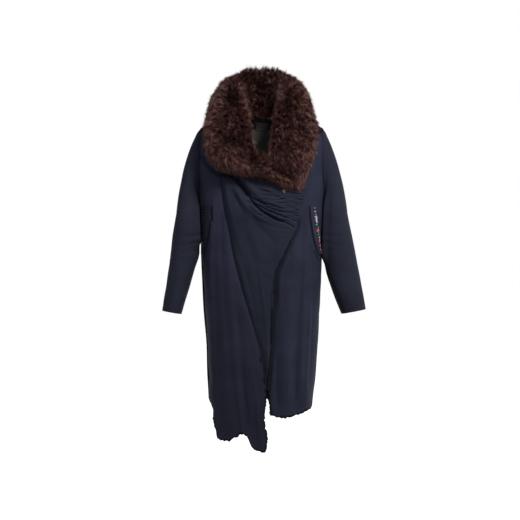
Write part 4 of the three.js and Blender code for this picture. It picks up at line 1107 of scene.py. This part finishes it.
def inner_line(panel, edge, inset, skip=(0, 0), lift_=0.25):
    """Points a set distance in from a panel's border."""
    p, n = panel.points, panel.normals
    if edge == "bottom":
        p, n = p[::-1], n[::-1]
    elif edge == "right":
        p, n = np.swapaxes(p, 0, 1)[::-1], np.swapaxes(n, 0, 1)[::-1]
    elif edge == "left":
        p, n = np.swapaxes(p, 0, 1), np.swapaxes(n, 0, 1)
    run = np.concatenate([np.zeros((1, p.shape[1])), np.cumsum(np.linalg.norm(np.diff(p, axis=0), axis=2), 0)])
    pts, nrm = [], []
    for j in range(skip[0], p.shape[1] - skip[1]):
        k = min(max(int(np.searchsorted(run[:, j], inset)), 1), len(run) - 1)
        t = (inset - run[k - 1, j]) / max(run[k, j] - run[k - 1, j], 1e-6)
        pts.append(mix(p[k - 1, j], p[k, j], t) + n[k, j] * lift_)
        nrm.append(n[k, j])
    return np.array(pts), np.array(nrm)


side_rows = side_front.points.shape[0]
below_slit = int((side_front.z[:, -1] > SLIT_TOP).sum())
under_below = int((under.z[:, 0] > SLIT_TOP).sum())
lines = [
    inner_line(back, "bottom", 13),
    inner_line(side_front, "bottom", 13, skip=(3, 3)),
    inner_line(under, "bottom", 13, skip=(3, 1)),
    inner_line(side_front, "right", 9, skip=(below_slit, 4)),
    inner_line(under, "left", 9, skip=(under_below, 4)),
    inner_line(side_front, "right", 5, skip=(50, side_rows - below_slit)),
    inner_line(draped, "right", 7, skip=(110, 6)),
]
for p, n in (sleeve_left, sleeve_right):
    lines.append((np.vstack([p[-6], p[-6][:1]]) + 0.25 * np.vstack([n[-6], n[-6][:1]]), np.vstack([n[-6], n[-6][:1]])))
thread = stitches(lines)
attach(thread, "root")

# ------------------------------------------------------------------ inside the neck
zz = heights([-4, -185], [4])[:, None]
reach = 0.62 + 0.1 * np.cos(zz / 40)
tt = np.linspace(-1, 1, 40)[None]
face_phi = np.pi + reach * tt
face_z = np.repeat(zz, 40, 1)
p0 = bare(face_phi, face_z)
face_points = p0 + normal(face_phi, face_z) * (lift("back", p0[..., 0], face_z) - 3.4)[..., None]
fn = grid_normals(face_points)
if (fn * normal(face_phi, face_z)).sum() > 0:
    fn = -fn
fp = face_points
for e in ("top", "bottom", "left", "right"):
    fp, fn = turned(fp, fn, e, radius=0.35, deep=5)
facing = mesh_object("neck_facing_cloth", fp, grid_faces(*fp.shape[:2]), grid_uv(fp), material=LINING)
finish_piece(facing, "neck_facing")

lz = np.linspace(-8, -32, 25)
k = per_mm(np.full(25, np.pi), lz)
t = np.linspace(-23, 23, 47)[None]
lp = np.pi + t * k[:, None]
lzz = np.repeat(lz[:, None], 47, 1)
p0 = bare(lp, lzz)
label_points = p0 + normal(lp, lzz) * (lift("back", p0[..., 0], lzz) - 4.6 - 0.8 * np.cos(t / 23 * np.pi / 2))[..., None]
ln = grid_normals(label_points)
if (ln * normal(lp, lzz)).sum() > 0:
    ln = -ln
for e in ("top", "bottom", "left", "right"):
    label_points, ln = turned(label_points, ln, e, radius=0.2, deep=3)
label = mesh_object("neck_label_cloth", label_points, grid_faces(*label_points.shape[:2]), grid_uv(label_points), material=LABEL)
label.data.materials.append(LABEL_BORDER)
lrow, lcol = np.divmod(np.arange(len(label.data.polygons)), label_points.shape[1] - 1)
woven = (np.abs(lrow - 26.5) < 1.1) & (lcol > 4) & (lcol < 50)
label.data.polygons.foreach_set("material_index", woven.astype(np.int32))
finish_piece(label, "neck_label")

# ------------------------------------------------------------------ snap
metal, mt, ms = material("aged_brass", (0.36, 0.30, 0.21), 0.34, 0.5, metallic=1.0)
wear = node(mt, "ShaderNodeTexNoise", Scale=420.0, Detail=5.0)
coords = node(mt, "ShaderNodeTexCoord")
mt.links.new(coords.outputs["Object"], wear.inputs["Vector"])
patina = node(mt, "ShaderNodeValToRGB")
patina.color_ramp.elements[0].color = (0.030, 0.025, 0.018, 1)
patina.color_ramp.elements[1].color = (0.22, 0.195, 0.150, 1)
patina.color_ramp.elements[0].position, patina.color_ramp.elements[1].position = 0.35, 0.65
mt.links.new(wear.outputs["Fac"], patina.inputs["Fac"])
mt.links.new(patina.outputs["Color"], ms.inputs["Base Color"])
rub = node(mt, "ShaderNodeMapRange")
rub.inputs["To Min"].default_value, rub.inputs["To Max"].default_value = 0.25, 0.5
mt.links.new(wear.outputs["Fac"], rub.inputs["Value"])
mt.links.new(rub.outputs["Result"], ms.inputs["Roughness"])

PROFILE = [  # radius, height
    (0.01, 3.3), (1.6, 3.28), (2.6, 3.1), (3.2, 2.7), (3.5, 2.25), (4.0, 2.15), (4.5, 2.35), (5.1, 2.5), (5.7, 2.3),
    (6.2, 1.8), (6.45, 1.1), (6.5, 0.3), (6.2, 0.05), (5.5, 0.0), (0.01, 0.0),
]
snap_phi = phi_at_x(np.array([SNAP["x"]], float), np.array([SNAP["z"]], float))
snap_z = np.array([SNAP["z"]], float)
sn = normal(snap_phi, snap_z)[0]
low, high = (np.array(v) * 1000 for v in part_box("top_snap"))
centre = (low + high) / 2
count = 40
s_verts, s_faces = [], []
u1 = unit(np.cross(sn, [0, 0, 1.0]))
u2 = np.cross(sn, u1)
foot = centre - sn * 1.9
for r, h in PROFILE:
    for q in range(count):
        b = 2 * math.pi * q / count
        s_verts.append(foot + r * (math.cos(b) * u1 + math.sin(b) * u2) + h * sn)
for i in range(len(PROFILE) - 1):
    for q in range(count):
        q2 = (q + 1) % count
        s_faces.append((i * count + q, (i + 1) * count + q, (i + 1) * count + q2, i * count + q2))
snap = mesh_object("top_snap_cap", np.array(s_verts), np.array(s_faces), material=metal)
finish_piece(snap, "top_snap")

# ------------------------------------------------------------------ fur collar
FUR_DEEP = 20.0  # how far the backing lies below the fur's reach


def collar_reads(rows):
    data = {c: [r[i] for r in rows] for i, c in enumerate(COLLAR_COLUMNS)}
    data["k"] = list(range(len(rows)))
    return {c: Curve({kk: np.array(vv, float) for kk, vv in data.items()}, "k", c) for c in COLLAR_COLUMNS}


def collar_surface(reads, sign, place, a, inset):
    """place along the collar, a round its arch from the neck's side to the outer edge."""
    r = {c: f(place) for c, f in reads.items()}
    inner = np.stack([sign * np.maximum(r["ix"], 0.3), r["iy"], r["iz"]], -1)
    outer = np.stack([sign * np.maximum(r["ox"], 0.3) if False else sign * r["ox"], r["oy"], r["oz"]], -1)
    outer[..., 0] = np.where(place < 0.02, sign * 0.3, outer[..., 0])
    inner[..., 0] = np.where(place > 4, sign * r["ix"], inner[..., 0])
    n = unit(np.stack([sign * r["nx"], r["ny"], r["nz"]], -1))
    along = outer - inner
    length = np.linalg.norm(along, axis=-1)
    along = along / length[..., None]
    middle = (inner + outer) / 2
    half = np.maximum(length / 2 - inset, 3)
    swell = np.maximum(r["swell"] - inset, 3)
    return (
        middle
        - along * (half * power(np.cos(a), 2 / 2.3))[..., None]
        + n * (swell * power(np.sin(a), 2 / 2.3))[..., None]
    )


def outside_body(p, clear):
    """Moves points out of the dressed body; returns them and how far each went."""
    z = np.minimum(p[..., 2], 0)
    pw = sections["power"](z)
    wide = np.where(p[..., 0] >= 0, sections["right"](z), sections["left"](z)) + clear
    deep = np.where(p[..., 1] <= 0, sections["front"](z), sections["back"](z)) + clear
    rho = ((np.abs(p[..., 0]) / wide) ** pw + (np.abs(p[..., 1]) / deep) ** pw) ** (1 / pw)
    inside = (p[..., 2] < 0) & (rho < 1)
    scale = np.where(inside, 1 / np.maximum(rho, 0.2), 1)
    q = p.copy()
    q[..., 0] *= scale
    q[..., 1] *= scale
    # on the shoulder the short way out is up
    far = np.linalg.norm(q - p, axis=-1)
    up = inside & (clear - p[..., 2] < far)
    q[..., 0], q[..., 1] = np.where(up, p[..., 0], q[..., 0]), np.where(up, p[..., 1], q[..., 1])
    q[..., 2] = np.where(up, clear, q[..., 2])
    return q, np.linalg.norm(q - p, axis=-1)


FUR_ROOT = plain("fur_root", (0.0115, 0.0050, 0.0046), 0.75, 0.08)
FUR_TONES = [
    plain("fur_deep", (0.026, 0.0108, 0.0098), 0.6, 0.15),
    plain("fur_dark", (0.052, 0.0212, 0.0190), 0.55, 0.2),
    plain("fur_brown", (0.098, 0.0385, 0.0335), 0.5, 0.25),
    plain("fur_russet", (0.190, 0.0700, 0.0480), 0.45, 0.35),
    plain("fur_tip", (0.270, 0.1300, 0.1040), 0.55, 0.12),
]
# painted highlight: the bright strands along the front edge's crest
FUR_CREST_HIGHLIGHT = plain("fur_crest_painted_highlight", (0.310, 0.140, 0.085), 0.45, 0.3)
# Lighter and darker places: picture position, reach in pixels, shift of tone. They mix the fur's own tone with painted
# light on the lit left side, a painted highlight along the front edge's crest, and painted shade in the collar's
# hollow, its creases and under its edges.
FUR_PLACES = [
    (208, 140, 12, 0.38), (209, 155, 11, 0.28), (216, 118, 13, 0.20), (219, 104, 10, 0.14), (245, 120, 7, 0.36), (300, 186, 7, 0.20),
(255, 168, 9, -0.05), (312, 150, 9, 0.24), (312, 172, 9, 0.20), (241, 82, 9, 0.16), (297, 90, 11, 0.18),
    (262, 70, 8, 0.22), (260, 95, 15, -0.6), (261, 82, 9, -0.6), (232, 140, 11, -0.34), (288, 142, 14, -0.12), (290, 166, 8, -0.34),
    (262, 112, 9, -0.5), (238, 98, 10, -0.12), (268, 165, 4, -0.4), (277, 169.5, 4, -0.45), (286, 174, 4, -0.4), (294, 177, 3, -0.3),
    (250, 176, 6, -0.25), (266, 181, 5, -0.2), (272, 172.5, 4, 0.3), (281, 176, 4, 0.45), (290, 180, 4, 0.5), (298, 183, 5, 0.5), (304, 182, 4, 0.4), (251, 122, 4, 0.35), (254, 140, 4, 0.3), (272, 128, 5, 0.2), (269, 148, 5, 0.25),
    (271, 161, 5, 0.25), (248, 154, 3.5, -0.5), (243, 156.5, 3, -0.4), (252, 158, 3, -0.4), (246, 149.5, 4, 0.25), (247, 161, 5, 0.15),
    (233, 88, 9, -0.14), (304, 108, 8, 0.12), (226, 160, 6, -0.15), (296, 128, 7, -0.16), (280, 118, 8, -0.1), (226, 170, 5, -0.2),
]
pelt, pt, ps = material("fur_backing", (0.010, 0.0055, 0.005), 0.85, 0.1)
pn = node(pt, "ShaderNodeTexNoise", Scale=220.0, Detail=6.0, Roughness=0.7)
pc = node(pt, "ShaderNodeTexCoord")
pt.links.new(pc.outputs["Object"], pn.inputs["Vector"])
pr = node(pt, "ShaderNodeValToRGB")
pr.color_ramp.elements[0].color = (0.005, 0.003, 0.003, 1)
pr.color_ramp.elements[1].color = (0.022, 0.012, 0.010, 1)
pt.links.new(pn.outputs["Fac"], pr.inputs["Fac"])
pt.links.new(pr.outputs["Color"], ps.inputs["Base Color"])
pb = node(pt, "ShaderNodeBump", Strength=0.8, Distance=0.003)
pt.links.new(pn.outputs["Fac"], pb.inputs["Height"])
pt.links.new(pb.outputs["Normal"], ps.inputs["Normal"])


def fur_collar(word, rows, sign, seed, strands):
    reads = collar_reads(rows)
    last = len(rows) - 1
    rng = np.random.default_rng(seed)
    # the backing: a closed roll under the fur
    places = np.linspace(0, last - 0.02, 110)
    arcs = np.linspace(0, np.pi, 40)
    P, A = np.meshgrid(places, arcs, indexing="ij")
    top = collar_surface(reads, sign, P, A, FUR_DEEP)
    top, _ = outside_body(top, 4.0)
    foot = np.stack([mix(top[:, -1], top[:, 0], t) for t in (0.2, 0.4, 0.6, 0.8)], 1)
    foot, _ = outside_body(foot, 4.0)
    ring = np.concatenate([top, foot], 1)
    ends = [np.repeat(ring[i].mean(0)[None], ring.shape[1], 0) for i in (0, -1)]
    ring = np.concatenate([[ends[0]], ring, [mix(ring[-1], ends[1], 0.6)], [ends[1]]])
    o = mesh_object(f"collar_{word}_backing", ring, grid_faces(*ring.shape[:2], around=True), material=pelt)
    finish_piece(o, f"collar_{word}")
    # where the strands grow: evenly over the surface
    fine_p = np.linspace(0, last, 241)
    fine_a = np.linspace(0.02, np.pi - 0.02, 91)
    FP, FA = np.meshgrid(fine_p, fine_a, indexing="ij")
    surface = collar_surface(reads, sign, FP, FA, FUR_DEEP)
    a, b, c, d = surface[:-1, :-1], surface[1:, :-1], surface[1:, 1:], surface[:-1, 1:]
    area = (np.linalg.norm(np.cross(b - a, c - a), axis=-1) + np.linalg.norm(np.cross(c - a, d - a), axis=-1)) / 2
    _, sunk = outside_body(surface, 2.0)
    hidden = (sunk[:-1, :-1] > 9).astype(float)
    weight = (area * (1 - hidden)).ravel()
    cell = rng.choice(len(weight), strands, p=weight / weight.sum())
    ci, cj = np.divmod(cell, surface.shape[1] - 1)
    step_p, step_a = fine_p[1] - fine_p[0], fine_a[1] - fine_a[0]
    place = fine_p[ci] + rng.random(strands) * step_p
    arc = fine_a[cj] + rng.random(strands) * step_a

    def frame_at(pl, ar):
        root = collar_surface(reads, sign, pl, ar, FUR_DEEP)
        dp = collar_surface(reads, sign, np.clip(pl + 0.02, 0, last), ar, FUR_DEEP) - collar_surface(reads, sign, np.clip(pl - 0.02, 0, last), ar, FUR_DEEP)
        da = collar_surface(reads, sign, pl, np.clip(ar + 0.02, 0, np.pi), FUR_DEEP) - collar_surface(reads, sign, pl, np.clip(ar - 0.02, 0, np.pi), FUR_DEEP)
        nn = unit(np.cross(dp, da))
        out = collar_surface(reads, sign, pl, ar, FUR_DEEP - 4) - root
        nn = np.where((nn * out).sum(-1, keepdims=True) < 0, -nn, nn)
        return root, nn, unit(dp), unit(da)

    root, nn, dp, da = frame_at(place, arc)
    # tufts: each strand leans to the middle of its tuft
    tuft_p, tuft_a = 0.11, 0.085
    gp, ga = np.floor(place / tuft_p), np.floor(arc / tuft_a)
    best = np.full(strands, 1e9)
    mid_p, mid_a = place.copy(), arc.copy()
    tone = np.zeros(strands)
    lean = np.zeros((strands, 3))

    def hashed(i, j, s):
        return (np.sin(i * 127.1 + j * 311.7 + s * 74.7) * 43758.5453) % 1.0

    for di in (-1, 0, 1):
        for dj in (-1, 0, 1):
            cp = (gp + di + 0.15 + 0.7 * hashed(gp + di, ga + dj, 1 + seed)) * tuft_p
            ca = (ga + dj + 0.15 + 0.7 * hashed(gp + di, ga + dj, 2 + seed)) * tuft_a
            dist = ((place - cp) / tuft_p) ** 2 + ((arc - ca) / tuft_a) ** 2
            closer = dist < best
            best = np.where(closer, dist, best)
            mid_p, mid_a = np.where(closer, cp, mid_p), np.where(closer, ca, mid_a)
            tone = np.where(closer, hashed(gp + di, ga + dj, 3 + seed), tone)
            vec = np.stack([hashed(gp + di, ga + dj, s + seed) - 0.5 for s in (4, 5, 6)], -1)
            lean = np.where(closer[:, None], vec, lean)
    mid_root, mid_n, mid_dp, mid_da = frame_at(np.clip(mid_p, 0, last), np.clip(mid_a, 0.01, np.pi - 0.01))
    down = np.array([0, 0, -1.0])

    # how far each strand is combed along the collar towards its end: most on the crossing front of the right half
    swept = (ease((place - 6.2) / 2.0) * ease((arc - 0.9) / 0.7) if word == "right" else 0.3 * ease((place - 5.5) / 2.0)) * np.ones(strands)
    rolled = ease((0.55 - arc) / 0.35) * ease((place - 3.4) / 1.0)  # the turned inner edge: short and smooth

    at_px, at_py = 260 + (root[:, 0] + 6.8) / 3.4, 118 - root[:, 2] / 3.4
    closing = np.exp(-(((at_px - 261) / 8.0) ** 2) - ((at_py - 164) / 7.0) ** 2) * (root[:, 1] < 40)

    def comb(n_, da_, dp_):
        tangent = down - n_ * (n_ @ down)[:, None]
        k = swept[:, None]
        r = rolled[:, None]
        inward = r * ease((place - 5.0) / 1.5)[:, None]
        combed = n_ * mix(0.80, 0.42, k) + tangent * mix(0.42, 0.22, k) + da_ * mix(0.22, 0.10, k) + dp_ * mix(0.0, 0.85, k)
        return mix(combed, n_ * 0.5 + dp_ * 0.8, r) - da_ * 0.55 * inward + closing[:, None] * np.array([0, -0.1, 1.3])

    own = unit(comb(nn, da, dp) + lean * 0.6 + rng.normal(0, 0.22, (strands, 3)))
    tuft = unit(comb(mid_n, mid_da, mid_dp) + lean * 0.8)
    length = rng.uniform(0.70, 1.12, strands) * 26.0 * (1 + 0.30 * lean[:, 0])
    length = length * (1 + 0.7 * closing)
    long_ones = rng.random(strands) < 0.10
    length = np.where(long_ones, length * 1.26, length)
    end_taper = ease((last + 0.05 - place) / 0.5)
    length = length * mix(0.85, 1.0, end_taper) * mix(1.0, 0.72, rolled)
    tip_own = root + own * length[:, None]
    tip_tuft = mid_root + tuft * (length * 1.04)[:, None]
    tip = mix(tip_own, tip_tuft, (rng.uniform(0.15, 0.75, strands) * (1 - 0.6 * rolled))[:, None])
    tip[:, 2] -= 2.0 + (5.0 + 9.0 * ease((tip[:, 0] - 15) / 60)) * swept * ease((arc - 1.2) / 1.2)
    # at the back the strands hang over the outer edge
    hang = ease((arc - 1.9) / 0.9) * ease((root[:, 1] - 50) / 50)
    tip[:, 2] -= hang * rng.uniform(4, 26, strands)
    tip[:, 1] -= hang * 12
    if word == "left":
        tip[:, 0] -= 8.0 * ease((tip[:, 0] - 120) / 50) * ease((80 - tip[:, 2]) / 40)
    mid = mix(root, tip, 0.5) + nn * (0.10 * length)[:, None] + rng.normal(0, 0.7, (strands, 3))
    root, _ = outside_body(root, 2.6)
    mid, _ = outside_body(mid, 3.0)
    tip, _ = outside_body(tip, 3.2)
    for p in (root, mid, tip):
        high = (10.0 if word == "right" else 6.0) * ease((p[:, 2] - 50) / 70) + (9.0 if word == "right" else 6.0) * ease((p[:, 2] - 120) / 40)
        p[:, 0] -= np.sign(p[:, 0]) * high * ease((np.abs(p[:, 0]) - 50) / 70)
        p[:, 0] -= np.sign(p[:, 0]) * 4.0 * ease((p[:, 2] + 30) / 40) * ease((np.abs(p[:, 0]) - 130) / 50)
        p[:, 0] -= np.sign(p[:, 0]) * 9.0 * ease((p[:, 2] - 140) / 25) * ease((np.abs(p[:, 0]) - 40) / 40)
        p[:, 0] -= 10.0 * ease((-185 - p[:, 2]) / 50) * ease((p[:, 0] - 95) / 40)
    axis = unit(tip - root)
    flat = np.cross(axis, nn)
    flat = np.where(np.linalg.norm(flat, axis=-1, keepdims=True) < 1e-3, np.cross(axis, dp), flat)
    flat = unit(flat)
    roll = rng.uniform(-1.0, 1.0, strands)
    up = np.cross(flat, axis)
    w = unit(flat * np.cos(roll)[:, None] + up * np.sin(roll)[:, None])
    wide = rng.uniform(0.42, 0.80, strands)[:, None]
    v = np.stack([root, mid - w * wide, mid + w * wide, tip], 1)
    base = np.arange(strands)[:, None] * 4
    tris = np.stack([base + np.array([0, 1, 2]), base + np.array([1, 3, 2])], 1).reshape(-1, 3)
    o = mesh_object(f"collar_{word}_fur", v.reshape(-1, 3), tris, smooth=False)
    o.data.materials.append(FUR_ROOT)
    for m in [*FUR_TONES, FUR_CREST_HIGHLIGHT]:
        o.data.materials.append(m)
    px = 262 + (root[:, 0] + 6.8) / 3.4 - 2
    py = 118 - root[:, 2] / 3.4
    facing = ease((-root[:, 1] + 20) / 40) * 1.0
    shift = sum(k * np.exp(-(((px - a) ** 2 + (py - b) ** 2) / r**2)) for a, b, r, k in FUR_PLACES)
    shade = np.clip(tone * 0.95 + rng.normal(0, 0.26, strands) + shift * mix(0.4, 1.0, facing) + 0.06 * swept + 0.22 * rolled, 0, 0.999)
    upper = 1 + np.digitize(shade, [0.22, 0.48, 0.76, 0.93])
    lower = np.where(shade > 0.76, 2, np.where(shade > 0.42, 1, 0))
    # the turned front edge's crest gets a painted highlight of bright ginger strands, with a painted shade line of the
    # darkest strands above it and darker strands below it
    if word == "right":
        seen_at = mix(root, tip, 0.8)
        vx, vy = 260 + (seen_at[:, 0] + 6.8) / 3.4, 118 - seen_at[:, 2] / 3.4
        height = np.interp(vx, [262, 270, 279, 286, 293, 299, 305], [169.5, 173.2, 177.8, 181.2, 184.4, 186.2, 185.4])
        along = ease((vx - 263) / 27) * ease((308 - vx) / 4) * facing
        crest = np.exp(-(((vy - height) / 2.0) ** 2)) * along
        crease = np.exp(-(((vy - height + 4.6) / 2.4) ** 2)) * along
        below = ease((vy - height - 1.5) / 2) * ease((vx - 250) / 12) * facing
        draw = rng.random(strands)
        upper = np.where(draw < 0.95 * crest, 1 + len(FUR_TONES), np.where(draw < 0.85 * crease, 1, np.where(draw < 0.4 * below, 2, upper)))
        lower = np.where(draw < 0.95 * crest, 4, np.where(draw < 0.85 * crease, 0, lower))
    index = np.stack([lower, upper], 1).ravel()
    o.data.polygons.foreach_set("material_index", index.astype(np.int32))
    finish_piece(o, f"collar_{word}")
    return o


leaning = [[*r[:6], r[6] - LEAN[i], *r[7:]] for i, r in enumerate(COLLAR_NECK)]
fur_collar("right", COLLAR_NECK + COLLAR_RIGHT_FRONT, -1, 21, 97000)
fur_collar("left", leaning + COLLAR_LEFT_FRONT, 1, 22, 92000)

# ------------------------------------------------------------------ studio
floor_m, ft, fs = material("pale_floor", (0.80, 0.80, 0.80), 0.95, 0.0)
fs.inputs["Emission Color"].default_value = (1, 1, 1, 1)
fs.inputs["Emission Strength"].default_value = 0.85
fmesh = mesh_object(
    "floor",
    np.array([[-9000, -260, -1420], [9000, -260, -1420], [9000, 14000, -1420], [-9000, 14000, -1420]], float),
    np.array([[0, 1, 2, 3]]),
    smooth=False,
    material=floor_m,
)

# The paper round the object is white to the eye, and dimmer as a light.
world = bpy.data.worlds.new("studio")
bpy.context.scene.world = world
world.use_nodes = True
wt = world.node_tree
paper = wt.nodes["Background"]
paper.inputs["Color"].default_value = (1, 1, 1, 1)
paper.inputs["Strength"].default_value = 1.0
dim = node(wt, "ShaderNodeBackground", Strength=0.36)
dim.inputs["Color"].default_value = (0.93, 0.96, 1.0, 1)
way = node(wt, "ShaderNodeTexCoord")
parts = node(wt, "ShaderNodeSeparateXYZ")
wt.links.new(way.outputs["Generated"], parts.inputs["Vector"])
slope = node(wt, "ShaderNodeMapRange")
for key, value in (("From Min", -1.0), ("From Max", 1.0), ("To Min", 0.10), ("To Max", 0.60)):
    slope.inputs[key].default_value = value
wt.links.new(parts.outputs["X"], slope.inputs["Value"])
wt.links.new(slope.outputs["Result"], dim.inputs["Strength"])
seen_by = node(wt, "ShaderNodeLightPath")
which = node(wt, "ShaderNodeMixShader")
wt.links.new(seen_by.outputs["Is Camera Ray"], which.inputs[0])
wt.links.new(dim.outputs[0], which.inputs[1])
wt.links.new(paper.outputs[0], which.inputs[2])
wt.links.new(which.outputs[0], wt.nodes["World Output"].inputs["Surface"])


def area_light(name, at, aim, size, watts):
    data = bpy.data.lights.new(name, "AREA")
    data.shape = "RECTANGLE"
    data.size, data.size_y = size
    data.energy = watts
    o = bpy.data.objects.new(name, data)
    o.location = at
    o.rotation_mode = "QUATERNION"
    o.rotation_quaternion = Vector(np.array(aim, float) - np.array(at, float)).to_track_quat("-Z", "Y")
    bpy.context.scene.collection.objects.link(o)
    return o


area_light("key", (1.5, -2.7, 2.6), (0, 0, -0.4), (0.8, 0.8), 165)
area_light("fill", (-2.0, -3.6, 0.9), (0, 0, -0.4), (1.6, 2.0), 18)
area_light("top", (0.3, 0.9, 2.6), (0, 0, -0.1), (1.4, 0.8), 34)

bpy.context.scene.view_settings.view_transform = "Standard"
